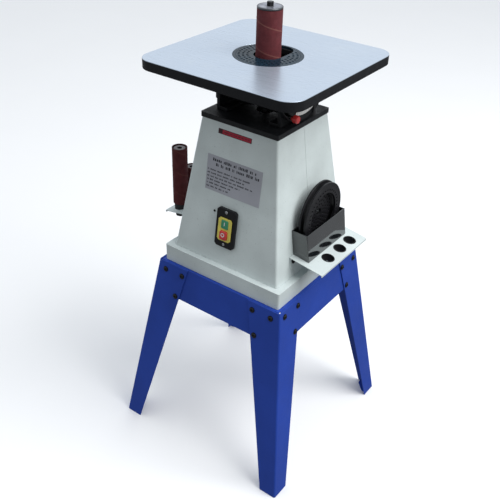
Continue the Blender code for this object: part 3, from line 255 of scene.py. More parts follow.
def powder_coat(name, colour, roughness, orange_peel, specular=0.35):
    """Baked powder: a fine orange-peel skin, faint blotches and a few rubbed specks."""
    paint = Finish(name, colour, roughness, specular=specular)
    blotch = paint.spread(paint.noise(9.0, detail=4.0), *NOISE_MIDDLE)
    body = paint.mix(blotch, tinted(colour, 0.90), tinted(colour, 1.07))
    speck = paint.spread(paint.noise(420.0, detail=1.0), 0.70, 0.76)
    paint.colours(speck, body, tinted(colour, 0.72))
    paint.roughnesses(paint.noise(35.0, detail=3.0), roughness - 0.07, roughness + 0.09)
    paint.bump(paint.noise(orange_peel, detail=1.5), 0.00009)
    paint.bump(paint.noise(60.0), 0.00020)
    return paint


def cast_black():
    """Black paint over sand-cast iron: coarse relief with the paint pooled in it."""
    iron = Finish("black_casting", (0.008, 0.009, 0.011), 0.5, specular=0.28)
    sand = iron.noise(900.0, detail=4.0, roughness=0.65)
    iron.colours(iron.spread(sand, 0.35, 0.70), (0.004, 0.0045, 0.006), (0.014, 0.016, 0.019))
    iron.roughnesses(iron.noise(60.0, detail=3.0), 0.42, 0.66)
    iron.bump(sand, 0.00025, 0.8)
    iron.bump(iron.noise(140.0), 0.0004, 0.6)
    return iron


GROUND_DROP = (0.0013, 0.0009)      # below the table's top, the black turns into ground iron


def table_iron():
    """The table: a ground bright top over black painted sides and underside."""
    top_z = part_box("table")[1].z
    table = Finish("ground_iron", (0.6, 0.65, 0.7), 0.3, specular=0.2)
    ground = table.spread(table.axes()[2], top_z - GROUND_DROP[0], top_z - GROUND_DROP[1])
    lines = table.noise(1.0, detail=3.0, roughness=0.7, vector=table.stretched((22.0, 3200.0, 9.0)))
    cloud = table.noise(7.0, detail=4.0, roughness=0.6)
    rub = table.spread(table.noise(26.0, detail=6.0, roughness=0.7), 0.50, 0.72)
    streaks = table.spread(lines, *NOISE_WIDE)
    bright = table.mix(streaks, (0.445, 0.515, 0.600), (0.490, 0.560, 0.645))
    bright = table.mix(table.spread(cloud, *NOISE_WIDE, 0.0, 0.35), bright, (0.400, 0.470, 0.575))
    bright = table.mix(table.math("MULTIPLY", rub, 0.18), bright, (0.58, 0.62, 0.64))
    sand = table.noise(900.0, detail=4.0, roughness=0.65)
    black = table.mix(table.spread(sand, 0.35, 0.70), (0.005, 0.0055, 0.007), (0.014, 0.015, 0.018))
    table.colours(ground, black, bright)
    table.link(table.math("MULTIPLY", ground, 0.62), table.shader.inputs["Metallic"])
    smooth = table.spread(lines, *NOISE_WIDE, 0.26, 0.32)
    cast = table.spread(table.noise(60.0, detail=3.0), *NOISE_WIDE, 0.45, 0.65)
    rough = table.nodes.new("ShaderNodeMix")
    table.link(ground, rough.inputs["Factor"])
    table.link(cast, rough.inputs[2])
    table.link(smooth, rough.inputs[3])
    table.link(rough.outputs[0], table.shader.inputs["Roughness"])
    relief = table.math("MULTIPLY", sand, table.math("SUBTRACT", 1.0, ground))
    table.bump(relief, 0.0003, 0.8)
    table.bump(lines, 0.00001, 0.5)
    return table


def moulded(name, colour, roughness, gloss=0.0, specular=0.5):
    """Moulded plastic: a fine spark-eroded skin and slow changes in gloss."""
    plastic = Finish(name, colour, roughness, specular=specular, coat=gloss, coat_roughness=0.08)
    flow = plastic.spread(plastic.noise(45.0, detail=3.0), *NOISE_MIDDLE)
    plastic.colours(flow, tinted(colour, 0.85), tinted(colour, 1.12))
    plastic.roughnesses(plastic.noise(80.0, detail=2.0), roughness - 0.05, roughness + 0.07)
    plastic.bump(plastic.noise(1500.0, detail=1.0), 0.00004)
    return plastic


def lacquer(name, colour):
    """Black gloss enamel that mirrors what stands before it, with faint haze and dust."""
    enamel = Finish(name, colour, 0.05, specular=1.0, coat=1.0, coat_roughness=0.03)
    haze = enamel.spread(enamel.noise(30.0, detail=4.0), *NOISE_MIDDLE)
    enamel.colours(haze, tinted(colour, 0.85), tinted(colour, 1.25))
    enamel.roughnesses(enamel.noise(60.0, detail=3.0), 0.04, 0.10)
    enamel.bump(enamel.noise(18.0), 0.00002)
    return enamel


def brushed(name, colour, roughness, stretch, metallic=1.0):
    """Metal with fine marks that run round or along it, by how the noise is stretched."""
    metal = Finish(name, colour, roughness, metallic)
    marks = metal.noise(1.0, detail=4.0, roughness=0.7, vector=metal.stretched(stretch))
    metal.colours(metal.spread(marks, *NOISE_WIDE), tinted(colour, 0.80), tinted(colour, 1.10))
    metal.roughnesses(marks, roughness - 0.08, roughness + 0.12)
    metal.bump(marks, 0.00003)
    return metal


SEAM_PITCH = 0.052            # the abrasive tube's tape advances this far in one turn
SEAM_HALF = 0.0009            # the seam's colour is full this far from its middle,
SEAM_FADE = 1.8               # and gone at this many times as far
SLEEVE_SEAM_Z = 0.9730        # the seam's height on the +X side of the spindle's sleeve
SPARE_SEAM_RISE = 0.020       # and of a spare sleeve, above its lower edge
GRIT_SCALE = 1500.0


def abrasive(name, centre, seam_z, colours):
    """Grit on a spirally wound cloth tube. seam_z is the seam's height on the +X side."""
    dark, light, seam_colour = colours
    cloth = Finish(name, dark, 0.85, specular=0.25)
    x, y, z = cloth.axes()
    across = cloth.math("SUBTRACT", x, centre.x)
    along = cloth.math("SUBTRACT", y, centre.y)
    turn = cloth.math("DIVIDE", cloth.math("ARCTAN2", along, across), 2.0 * pi)
    climb = cloth.math("DIVIDE", cloth.math("SUBTRACT", z, seam_z), SEAM_PITCH)
    phase = cloth.math("FRACT", cloth.math("ADD", cloth.math("ADD", climb, turn), 20.5))
    off = cloth.math("ABSOLUTE", cloth.math("SUBTRACT", phase, 0.5))
    seam = cloth.spread(off, SEAM_HALF / SEAM_PITCH, SEAM_FADE * SEAM_HALF / SEAM_PITCH, 1.0, 0.0)
    grains = cloth.grains(GRIT_SCALE)
    worn = cloth.spread(cloth.noise(70.0, detail=5.0, roughness=0.7), 0.40, 0.68)
    body = cloth.mix(cloth.spread(grains, 0.1, 0.7), light, dark)
    body = cloth.mix(cloth.math("MULTIPLY", worn, 0.35), body, tinted(light, 1.25))
    cloth.colours(cloth.math("MULTIPLY", seam, 0.4), body, seam_colour)
    cloth.bump(grains, 0.00035, 0.9)
    cloth.roughnesses(cloth.noise(90.0), 0.74, 0.95)
    return cloth


SHEET_PITCH = 0.0005          # of the motor's stacked sheets
TURNING_PITCH = 0.0006        # of the turned rings on the large washer
WASHER_DULL = (0.0190, 0.0242)      # the radii between which its plating goes dull


def laminations():
    """Stacked stampings, seen as fine level lines."""
    stack = Finish("lamination", (0.20, 0.19, 0.18), 0.5, 0.8)
    sheets = stack.math("SINE", stack.math("MULTIPLY", stack.axes()[2], 2.0 * pi / SHEET_PITCH))
    stack.colours(stack.spread(sheets, -1.0, 1.0), (0.10, 0.095, 0.09), (0.30, 0.29, 0.27))
    stack.roughnesses(stack.noise(200.0), 0.40, 0.60)
    stack.bump(sheets, 0.00006)
    return stack


def rubber_skin():
    rubber = Finish("rubber", (0.022, 0.022, 0.024), 0.75, specular=0.3)
    speck = rubber.noise(1200.0, detail=2.0)
    rubber.colours(rubber.spread(speck, 0.4, 0.7), (0.016, 0.016, 0.018), (0.040, 0.040, 0.042))
    rubber.roughnesses(rubber.noise(60.0), 0.66, 0.86)
    rubber.bump(speck, 0.00012)
    return rubber


def washer_zinc():
    """Zinc plating with turned rings about the spindle, dulled towards the rim."""
    zinc = Finish("zinc_washer", (0.50, 0.52, 0.56), 0.38, 0.85)
    x, y, _ = zinc.axes()
    squares = zinc.math("ADD", zinc.math("POWER", x, 2.0), zinc.math("POWER", y, 2.0))
    radius = zinc.math("SQRT", squares)
    rings = zinc.math("SINE", zinc.math("MULTIPLY", radius, 2.0 * pi / TURNING_PITCH))
    dull = zinc.spread(radius, *WASHER_DULL)
    clouds = zinc.spread(zinc.noise(110.0, detail=4.0), *NOISE_MIDDLE)
    body = zinc.mix(clouds, (0.22, 0.23, 0.27), (0.40, 0.41, 0.46))
    zinc.colours(dull, body, (0.11, 0.115, 0.125))
    zinc.roughnesses(zinc.noise(70.0, detail=3.0), 0.30, 0.48)
    zinc.bump(rings, 0.00002)
    return zinc


def make_finishes():
    spindle = Vector((0.0, 0.0, 0.0))
    maroon = ((0.080, 0.016, 0.020), (0.185, 0.040, 0.044), (0.32, 0.14, 0.11))
    brown = ((0.055, 0.010, 0.012), (0.125, 0.024, 0.026), (0.14, 0.05, 0.04))
    finishes = {
        "blue_paint": powder_coat("blue_paint", (0.024, 0.066, 0.385), 0.42, 800.0, specular=0.12),
        "grey_paint": powder_coat("grey_paint", (0.63, 0.70, 0.695), 0.50, 1000.0),
        "black_casting": cast_black(),
        "ground_iron": table_iron(),
        "black_plastic": moulded("black_plastic", (0.010, 0.010, 0.012), 0.40, specular=0.22),
        "glossy_black": lacquer("glossy_black", (0.010, 0.012, 0.014)),
        "insert_black": moulded("insert_black", (0.008, 0.023, 0.038), 0.18, specular=0.09),
        "label_grey": powder_coat("label_grey", (0.40, 0.41, 0.455), 0.38, 1500.0),
        "ink": moulded("ink", (0.020, 0.021, 0.028), 0.45),
        "strip_red": powder_coat("strip_red", (0.42, 0.018, 0.045), 0.38, 1500.0),
        "strip_dark": powder_coat("strip_dark", (0.045, 0.008, 0.014), 0.42, 1500.0),
        "yellow_plastic": moulded("yellow_plastic", (0.76, 0.66, 0.12), 0.38),
        "green_plastic": moulded("green_plastic", (0.035, 0.30, 0.15), 0.32, gloss=0.3),
        "red_plastic": moulded("red_plastic", (0.60, 0.035, 0.035), 0.32, gloss=0.3),
        "white_enamel": powder_coat("white_enamel", (0.82, 0.82, 0.80), 0.35, 1200.0),
        "sleeve": abrasive("abrasive_maroon", spindle, SLEEVE_SEAM_Z, maroon),
        "rubber": rubber_skin(),
        "steel": brushed("steel", (0.52, 0.53, 0.55), 0.32, (300.0, 300.0, 2600.0)),
        "oiled_steel": brushed("oiled_steel", (0.070, 0.072, 0.078), 0.40,
                               (300.0, 300.0, 2600.0), 0.8),
        "zinc_washer": washer_zinc(),
        "ring_grey": moulded("ring_grey", (0.17, 0.155, 0.16), 0.5, specular=0.25),
        "blackened_steel": brushed("blackened_steel", (0.020, 0.020, 0.022), 0.38,
                                   (700.0, 700.0, 700.0), 0.6),
        "aluminium": brushed("aluminium", (0.56, 0.57, 0.58), 0.48, (500.0, 500.0, 500.0), 0.9),
        "lamination": laminations(),
        "bronze": brushed("bronze", (0.52, 0.30, 0.10), 0.35, (1800.0, 300.0, 300.0)),
    }
    for name in SPARE_DRUMS:
        low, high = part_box(f"stored_sleeve_{name}")
        finishes[f"sleeve_{name}"] = abrasive(f"abrasive_{name}", (low + high) / 2.0,
                                              low.z + SPARE_SEAM_RISE, brown)
    return finishes


# ---- pieces ---------------------------------------------------------------------------------
SMOOTH = 35.0                 # faces that meet at fewer degrees than this are blended,
SMOOTH_CARVED = 30.0          # and so on a piece with holes cut in it,
SMOOTH_BOLT = 40.0
SMOOTH_SLEEVE = 50.0


def new_object(name, bm, finish, place=None, smooth=SMOOTH):
    """Makes a bmesh into an object. Faces that meet at less than smooth degrees are blended."""
    bmesh.ops.recalc_face_normals(bm, faces=bm.faces)
    mesh = bpy.data.meshes.new(name)
    bm.to_mesh(mesh)
    bm.free()
    mesh.shade_smooth()
    mesh.set_sharp_from_angle(angle=radians(smooth))
    mesh.materials.append(finish.material)
    item = bpy.data.objects.new(name, mesh)
    if place:
        item.matrix_world = place
    bpy.context.scene.collection.objects.link(item)
    return item


def put_on(item, body, slot, *replaced):
    """The piece rides on a body and may stand for CAD nodes, which it hides. Its slot is not used."""
    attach(item, body)
    if replaced:
        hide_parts(*replaced)


def circle(radius, z, steps, centre=(0.0, 0.0)):
    angles = [2.0 * pi * k / steps for k in range(steps)]
    return [(centre[0] + radius * cos(a), centre[1] + radius * sin(a), z) for a in angles]


def add_rings(bm, rings, join_ends=False):
    """Faces through rings of equal length, with a face over each end or a ring back to the start."""
    rows = [[bm.verts.new(point) for point in ring] for ring in rings]
    pairs = list(zip(rows, rows[1:]))
    if join_ends:
        pairs.append((rows[-1], rows[0]))
    for low, high in pairs:
        for i, corner in enumerate(low):
            j = (i + 1) % len(low)
            bm.faces.new((corner, low[j], high[j], high[i]))
    if not join_ends:
        bm.faces.new(rows[0])
        bm.faces.new(rows[-1])
    return bm


def turned(bm, profile, steps, centre=(0.0, 0.0), hollow=False):
    """A profile of (radius, z) points, turned about a vertical axis through the centre."""
    return add_rings(bm, [circle(r, z, steps, centre) for r, z in profile], join_ends=hollow)


def slab(bm, low, high):
    (x0, y0, z0), (x1, y1, z1) = low, high
    ring = [(x0, y0), (x1, y0), (x1, y1), (x0, y1)]
    add_rings(bm, [[(x, y, z) for x, y in ring] for z in (z0, z1)])


def carve(item, tool_bm):
    """Cuts a tool's shape out of a piece, then removes the tool."""
    tool = new_object(item.name + "_tool", tool_bm, FINISHES["steel"], item.matrix_world.copy())
    hole = item.modifiers.new("holes", "BOOLEAN")
    hole.object = tool
    hole.solver = "EXACT"
    bpy.context.view_layer.update()
    view = bpy.context.evaluated_depsgraph_get()
    mesh = bpy.data.meshes.new_from_object(item.evaluated_get(view))
    item.modifiers.clear()
    item.data = mesh
    mesh.shade_smooth()
    mesh.set_sharp_from_angle(angle=radians(SMOOTH_CARVED))
    bpy.data.objects.remove(tool)


# ---- where the CAD's faces are --------------------------------------------------------------
X, Y = 0, 1
SAME_LEVEL = 0.0002           # corners no further apart in height than this share a level
LOWEST, FLARE_TOP, TOPMOST = 0, 1, -1     # levels; a cabinet wall starts above its flared foot
LEG_SHEET = 0.0025
APRON_SHEET = 0.002
SHELF_SHEET = 0.0018


def corners_of(node):
    return [v.co for v in NODES[node].data.vertices]


def level_half(node, axis, level):
    """One of the heights where a CAD node has corners, and its half size across an axis there."""
    corners = corners_of(node)
    levels = sorted({round(c.z, 4) for c in corners})
    z = levels[level]
    return z, max(abs(c[axis]) for c in corners if abs(c.z - z) < SAME_LEVEL)


class Wall:
    """A flat side that leans inwards: of the cabinet or of the stand's legs."""

    def __init__(self, node, axis, side, low_level):
        low_z, low_half = level_half(node, axis, low_level)
        self.top_z, self.top_half = level_half(node, axis, TOPMOST)
        self.slope = (low_half - self.top_half) / (self.top_z - low_z)
        self.axis = axis
        self.side = side
        lean = (1.0 + self.slope ** 2) ** -0.5
        outward = [0.0, 0.0, self.slope * lean]
        outward[axis] = side * lean
        self.outward = Vector(outward)

    def place(self, across, z, out=0.0):
        """Local +Z points out of the wall, local +Y points up it, local +X along it."""
        point = [across, across, z]
        point[self.axis] = self.side * (self.top_half + (self.top_z - z) * self.slope)
        along = Vector((0.0, 0.0, 1.0)).cross(self.outward).normalized()
        up = self.outward.cross(along)
        turn = Matrix((along, up, self.outward)).transposed().to_4x4()
        return Matrix.Translation(Vector(point) + self.outward * out) @ turn


FRONT_WALL = Wall("cabinet_front_shell", Y, -1, FLARE_TOP)
RIGHT_WALL = Wall("cabinet_front_shell", X, 1, FLARE_TOP)
LEFT_WALL = Wall("cabinet_front_shell", X, -1, FLARE_TOP)
WALL_POINT = FRONT_WALL.place(0.0, 0.6).translation     # any point on the front wall


def face_out(node):
    """How far a node's outermost face stands out of the front wall."""
    outward = FRONT_WALL.outward
    return max(corner.dot(outward) for corner in corners_of(node)) - WALL_POINT.dot(outward)


# ---- fasteners ------------------------------------------------------------------------------
EASED = 0.92                  # an eased end's radius, as a share of the full one
BOLT_STEPS = 24
BOLT_R = 0.0052
BOLT_RISE = 0.0034
BOLT_SIDE = (0.0011, 0.0016)        # the short straight side under the dome
BOLT_SOCKET_R = 0.0021
BOLT_SOCKET_DEPTH = 0.0016
DOME_ANGLE = radians(64.0)
DOME_STEPS = 5
WASHER_R = (0.0040, 0.0066)
WASHER_Z = (0.0001, 0.0008)
NUT_R = 0.0050
NUT_THICK = 0.0035
NUT_GAP = 0.0001
NUT_SIDES = 6
THREAD_STEPS = 16
THREAD_R = (0.0022, 0.0024)         # at its end and at the nut
THREAD_REACH = 0.0022
END_EASE = 0.0004
LEG_BOLT_SPARE = 0.0006             # the grip beyond the sheets' own thickness
SHELF_BOLT_SPARE = 0.0026
SHELF_BOLT_INSET = 0.0115
SHELF_BOLT_DROP = 0.0125
SHELF_BOLT_OUT = 0.0003
LEG_BOLTS = {Y: ((0.1450, 0.4352), (0.0976, 0.4352), (0.1110, 0.3790)),    # from the middle, height
             X: ((0.1420, 0.4390), (0.0920, 0.4390), (0.1090, 0.3830))}


def bolt_mesh(grip):
    """A domed bolt with a round socket, its washer, and the nut behind sheets grip thick."""
    bm = bmesh.new()
    (hole_r, washer_r), (under, over) = WASHER_R, WASHER_Z
    turned(bm, [(washer_r, under), (washer_r, over), (hole_r, over), (hole_r, under)], BOLT_STEPS,
           hollow=True)
    low, high = BOLT_SIDE
    dome = [(BOLT_R * EASED, over), (BOLT_R, low), (BOLT_R, high)]
    for k in range(1, DOME_STEPS + 1):
        a = k / DOME_STEPS * DOME_ANGLE
        dome.append((BOLT_R * cos(a), high + (BOLT_RISE - high) * sin(a) / sin(DOME_ANGLE)))
    socket = [(BOLT_SOCKET_R, BOLT_RISE), (BOLT_SOCKET_R, BOLT_RISE - BOLT_SOCKET_DEPTH)]
    turned(bm, dome + socket, BOLT_STEPS)
    nut_end = -grip - NUT_THICK
    for r0, r1, z0, z1, sides in ((NUT_R, NUT_R, nut_end, -grip - NUT_GAP, NUT_SIDES),
                                  (*THREAD_R, nut_end - THREAD_REACH, nut_end, THREAD_STEPS)):
        turned(bm, [(r0 * EASED, z0), (r0, z0 + END_EASE), (r1, z1 - END_EASE), (r1 * EASED, z1)],
               sides)
    return bm


def add_bolt(name, grip, place):
    bolt = new_object(name, bolt_mesh(grip), FINISHES["blackened_steel"], place, smooth=SMOOTH_BOLT)
    put_on(bolt, "stand", "blackened_steel")


def make_bolts():
    """Three bolts where each apron meets each leg, and two in each shelf's flange."""
    count = 0
    for axis, side, word in ((Y, -1, "front"), (Y, 1, "rear"), (X, 1, "right"), (X, -1, "left")):
        wall = Wall("leg_front_right", axis, side, LOWEST)
        for across in (-1, 1):
            for reach, z in LEG_BOLTS[axis]:
                count += 1
                add_bolt(f"leg_bolt_{word}_{count}", LEG_SHEET + APRON_SHEET + LEG_BOLT_SPARE,
                         wall.place(across * reach, z))
    for wall, word in ((RIGHT_WALL, "right"), (LEFT_WALL, "left")):
        low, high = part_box(f"shelf_{word}")
        for k, y in enumerate((low.y + SHELF_BOLT_INSET, high.y - SHELF_BOLT_INSET)):
            place = wall.place(y, high.z - SHELF_BOLT_DROP, SHELF_SHEET + SHELF_BOLT_OUT)
            add_bolt(f"shelf_bolt_{word}_{k + 1}", SHELF_SHEET + SHELF_BOLT_SPARE, place)


SCREW_STEPS = 32
SCREW_FLAT = 0.35             # the share of a screw head, across and up, that isn't dome
SCREW_DOME_ANGLE = radians(70.0)
CROSS_ARM = 0.62              # the recess, as shares of the head's radius
CROSS_HALF = 0.15
CROSS_GAP = 1.02
CROSS_FLOOR = 0.45            # and of its rise
CROSS_TOP = 2.0
WALL_SCREW_X = -0.0385
SWITCH_SCREWS = (("switch_screw_upper", 0.6175, 0.0033, 0.0018),     # height, radius, rise
                 ("switch_screw_lower", 0.5445, 0.0030, 0.0016))
WALL_SCREW = ("wall_screw", 0.6080, 0.0026, 0.0018)


def screw_mesh(radius, rise):
    """A pan-head screw, its head's underside at z = 0."""
    round_share = 1.0 - SCREW_FLAT
    profile = [(radius, 0.0), (radius, rise * SCREW_FLAT)]
    for k in range(1, DOME_STEPS + 1):
        a = k / DOME_STEPS * SCREW_DOME_ANGLE
        profile.append((radius * (SCREW_FLAT + round_share * cos(a)),
                        rise * (SCREW_FLAT + round_share * sin(a))))
    return turned(bmesh.new(), profile, SCREW_STEPS)


def cross_tool(radius, rise):
    """A cross as three slabs that don't touch each other."""
    bm = bmesh.new()
    arm = radius * CROSS_ARM
    thin = radius * CROSS_HALF
    low = rise * CROSS_FLOOR
    high = rise * CROSS_TOP
    slab(bm, (-arm, -thin, low), (arm, thin, high))
    for y0, y1 in ((-arm, -thin * CROSS_GAP), (thin * CROSS_GAP, arm)):
        slab(bm, (-thin, y0, low), (thin, y1, high))
    return bm


def make_screws():
    """Two cross-head screws in the switch plate and a black one in the wall beside it."""
    low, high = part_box("switch_plate")
    plate_x = (low.x + high.x) / 2.0
    rows = [(*row, plate_x, face_out("switch_plate"), "steel") for row in SWITCH_SCREWS]
    rows.append((*WALL_SCREW, WALL_SCREW_X, 0.0, "blackened_steel"))
    for name, z, radius, rise, x, out, slot in rows:
        place = FRONT_WALL.place(x, z, out)
        screw = new_object(name, screw_mesh(radius, rise), FINISHES[slot], place)
        carve(screw, cross_tool(radius, rise))
        put_on(screw, "stand", slot)


# ---- table insert and its spares ------------------------------------------------------------
ROUND_STEPS = 96
PERFORATION_R = 0.0023
PERFORATION_STEPS = 12
PERFORATION_MARGIN = 0.0015   # of plate between the small holes and the long one
SINK_OUT = 0.0004             # the small holes widen by this,
SINK_Z = (-0.0006, 0.0002)    # between these heights
TABLE_ROWS = ((0.0410, 28), (0.0495, 34), (0.0580, 40))      # radius and number of holes
SPARE_ROWS = {"inner": ((0.0175, 12), (0.0260, 18), (0.0345, 24), (0.0430, 30)),
              "outer": ((0.0540, 36),)}
GROOVE_R = 0.0638
GROOVE = 0.0005               # half its width, and its depth
DISC_EASE = 0.0005
DISC_CORE_R = 0.0001          # the disc's two sides close over a ring this small
DISC_RIM = 0.001              # corners nearer the rim than this aren't the long hole's
LONG_HOLE_STEPS = 32
SPARE_BORE_STEPS = 64


def insert_disc(radius, thick):
    """A disc with eased edges and a shallow groove near its rim, its top at z = 0."""
    profile = [(DISC_CORE_R, -thick), (radius - DISC_EASE, -thick), (radius, DISC_EASE - thick),
               (radius, -DISC_EASE), (radius - DISC_EASE, 0.0), (GROOVE_R + GROOVE, 0.0),
               (GROOVE_R, -GROOVE), (GROOVE_R - GROOVE, 0.0), (DISC_CORE_R, 0.0)]
    return turned(bmesh.new(), profile, ROUND_STEPS)


def perforation_tool(thick, rows, blocked=None):
    """Pins for staggered rows of small holes, left out where blocked(x, y) says so."""
    bm = bmesh.new()
    wide = PERFORATION_R + SINK_OUT
    pin = [(PERFORATION_R, -2.0 * thick), (PERFORATION_R, SINK_Z[0]), (wide, SINK_Z[1]), (wide, thick)]
    for row, (radius, count) in enumerate(rows):
        for k in range(count):
            angle = 2.0 * pi * (k + 0.5 * (row % 2)) / count
            x = radius * cos(angle)
            y = radius * sin(angle)
            if not (blocked and blocked(x, y)):
                turned(bm, pin, PERFORATION_STEPS, (x, y))
    return bm


def long_hole_tool(radius, rear_y, thick):
    """The long hole: two half circles joined by straight sides."""
    turns = [pi * k / LONG_HOLE_STEPS for k in range(LONG_HOLE_STEPS + 1)]
    front = [(radius * cos(a - pi), radius * sin(a - pi)) for a in turns]
    rear = [(radius * cos(a), rear_y + radius * sin(a)) for a in turns]
    outline = front + rear
    return add_rings(bmesh.new(), [[(x, y, z) for x, y in outline] for z in (-2.0 * thick, thick)])


def insert_size():
    """Radius and thickness of the table insert. Its spares are as large."""
    low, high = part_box("table_insert")
    return (high.x - low.x) / 2.0, high.z - low.z


def make_table_insert():
    radius, thick = insert_size()
    hole = [corner for corner in corners_of("table_insert") if corner.xy.length < radius - DISC_RIM]
    hole_r = max(abs(c.x) for c in hole)
    rear_y = max(c.y for c in hole) - hole_r
    margin = PERFORATION_R + PERFORATION_MARGIN

    def over_long_hole(x, y):
        return Vector((x, y - min(max(y, 0.0), rear_y))).length < hole_r + margin

    insert = new_object("perforated_insert", insert_disc(radius, thick), FINISHES["insert_black"],
                        Matrix.Translation((0.0, 0.0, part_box("table_insert")[1].z)))
    carve(insert, long_hole_tool(hole_r, rear_y, thick))
    carve(insert, perforation_tool(thick, TABLE_ROWS, over_long_hole))
    put_on(insert, "insert", "black_plastic", "table_insert")


def make_spare_insert(name):
    """A stored insert: it stands on its edge, with a round hole and its own rows of small ones."""
    radius, thick = insert_size()
    node = f"stored_insert_{name}"
    body = f"spare_insert_{name}"
    joint = next(j for j in frame["joints"] if j["child"] == body)
    along = Vector((0.0, 1.0, 0.0))
    up = Vector(joint["axis"]).normalized()
    outward = along.cross(up).normalized()
    low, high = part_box(node)
    centre = (low + high) / 2.0
    turn = Matrix((along, up, outward)).transposed().to_4x4()
    place = Matrix.Translation(centre + outward * thick / 2.0) @ turn
    spare = new_object(f"perforated_spare_{name}", insert_disc(radius, thick),
                       FINISHES["black_plastic"], place)
    bore = min(Vector((c.y - centre.y, c.z - centre.z)).length for c in corners_of(node))
    carve(spare, turned(bmesh.new(), [(bore, -2.0 * thick), (bore, thick)], SPARE_BORE_STEPS))
    carve(spare, perforation_tool(thick, SPARE_ROWS[name]))
    put_on(spare, body, "black_plastic", node)


# ---- abrasive sleeves -----------------------------------------------------------------------
SEAM_RISE = 0.00028
SEAM_RIDGE_HALF = 0.0011
CLOTH_INSET = 0.0002          # the cloth lies this far inside the CAD sleeve's surface
CLOTH_THICK = 0.0012
CLOTH_ROW = 0.0006
FRAY = 0.00025
INNER_EDGE_DROP = 0.0003
FRAY_SEED = 7


def make_sleeve(name, node, body, finish, seam_z):
    """A wound cloth tube with a low ridge along its spiral seam and a slightly rough top edge."""
    low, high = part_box(node)
    centre = (low + high) / 2.0
    outer = (high.x - low.x) / 2.0 - CLOTH_INSET
    inner = outer - CLOTH_THICK
    rows = round((high.z - low.z) / CLOTH_ROW)
    rings = []
    edge = random.Random(FRAY_SEED)
    fray = [edge.uniform(-FRAY, 0.0) for _ in range(ROUND_STEPS)]
    for row in range(rows + 1):
        z = low.z + (high.z - low.z) * row / rows
        ring = []
        for k in range(ROUND_STEPS):
            angle = 2.0 * pi * k / ROUND_STEPS
            phase = ((z - seam_z) / SEAM_PITCH + angle / (2.0 * pi) + 0.5) % 1.0 - 0.5
            ridge = max(0.0, 1.0 - (phase * SEAM_PITCH / SEAM_RIDGE_HALF) ** 2)
            r = outer + SEAM_RISE * ridge
            lift = fray[k] if row == rows else 0.0
            ring.append((centre.x + r * cos(angle), centre.y + r * sin(angle), z + lift))
        rings.append(ring)
    for z in (high.z - INNER_EDGE_DROP, low.z):
        rings.append(circle(inner, z, ROUND_STEPS, centre.xy))
    tube = add_rings(bmesh.new(), rings, join_ends=True)
    sleeve = new_object(name, tube, FINISHES[finish], smooth=SMOOTH_SLEEVE)
    put_on(sleeve, body, "abrasive", node)


def make_sleeves():
    make_sleeve("wound_sleeve", "sanding_sleeve", "spindle", "sleeve", SLEEVE_SEAM_Z)
    for name in SPARE_DRUMS:
        node = f"stored_sleeve_{name}"
        make_sleeve(f"wound_spare_{name}", node, f"spare_drum_{name}", f"sleeve_{name}",
                    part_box(node)[0].z + SPARE_SEAM_RISE)


DRUM_RING_BORE = (0.0056, 0.0062)   # the bore's radius, and its eased top edge's
DRUM_RING_SHARE = (0.80, 0.76)      # the outer radii, as shares of the drum's
DRUM_RING_Z = (0.0001, 0.0009, 0.0012)      # above the drum: underside, eased edge, top
DRUM_RING_STEPS = 48


def make_drum_rings():
    """The dull grey bushes that line the spare drums' bores, just proud of the rubber."""
    for name in SPARE_DRUMS:
        low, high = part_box(f"stored_drum_{name}")
        centre = (low + high) / 2.0
        half = min(high.x - low.x, high.y - low.y) / 2.0
        bore, bore_top = DRUM_RING_BORE
        wide, wide_top = (half * share for share in DRUM_RING_SHARE)
        under, edge, top = (high.z + rise for rise in DRUM_RING_Z)
        profile = [(bore, under), (wide, under), (wide, edge), (wide_top, top), (bore_top, top),
                   (bore, edge)]
        tube = turned(bmesh.new(), profile, DRUM_RING_STEPS, centre.xy, hollow=True)
        ring = new_object(f"drum_ring_{name}", tube, FINISHES["ring_grey"])
        put_on(ring, f"spare_drum_{name}", "zinc_washer")


# ---- bushes in the shelves' holes, their black partly painted shade -------------------------
BUSH_R = 0.0123               # the bore
BUSH_OUT_R = 0.0138
BUSH_RIM_R = 0.0144
BUSH_RIM = 0.0009
BUSH_RIM_EASE = 0.0006        # the rim narrows by this
BUSH_RIM_EDGE = 0.0003        # above this height
BUSH_GAP = 0.00005            # between the rim and the shelf
BUSH_LENGTH = 0.017
BUSH_STEPS = 40


def shelf_top(word):
    """The inner edge of a shelf's top, as distance from the middle and height, and its slope."""
    corners = [(abs(corner.x), corner.z) for corner in corners_of(f"shelf_{word}")]
    inner = min(corners, key=lambda c: (round(-c[1], 4), c[0]))
    outer = max(corners, key=lambda c: (round(c[0], 4), c[1]))
    return inner, (inner[1] - outer[1]) / (outer[0] - inner[0])


def shelf_holes(word):
    """The middle of each hole seen from above: a stated opening, or where a spare drum stands."""
    openings = frame["record"]["physics"]["openings"]
    spots = [(Vector(o["box_m"][0]) + Vector(o["box_m"][1])) / 2.0 for o in openings
             if o["name"].startswith(f"{word}_shelf_hole")]
    if word == "left":
        for name in SPARE_DRUMS:
            low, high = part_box(f"stored_drum_{name}")
            spots.append((low + high) / 2.0)
    return sorted(spots, key=lambda spot: spot.y)


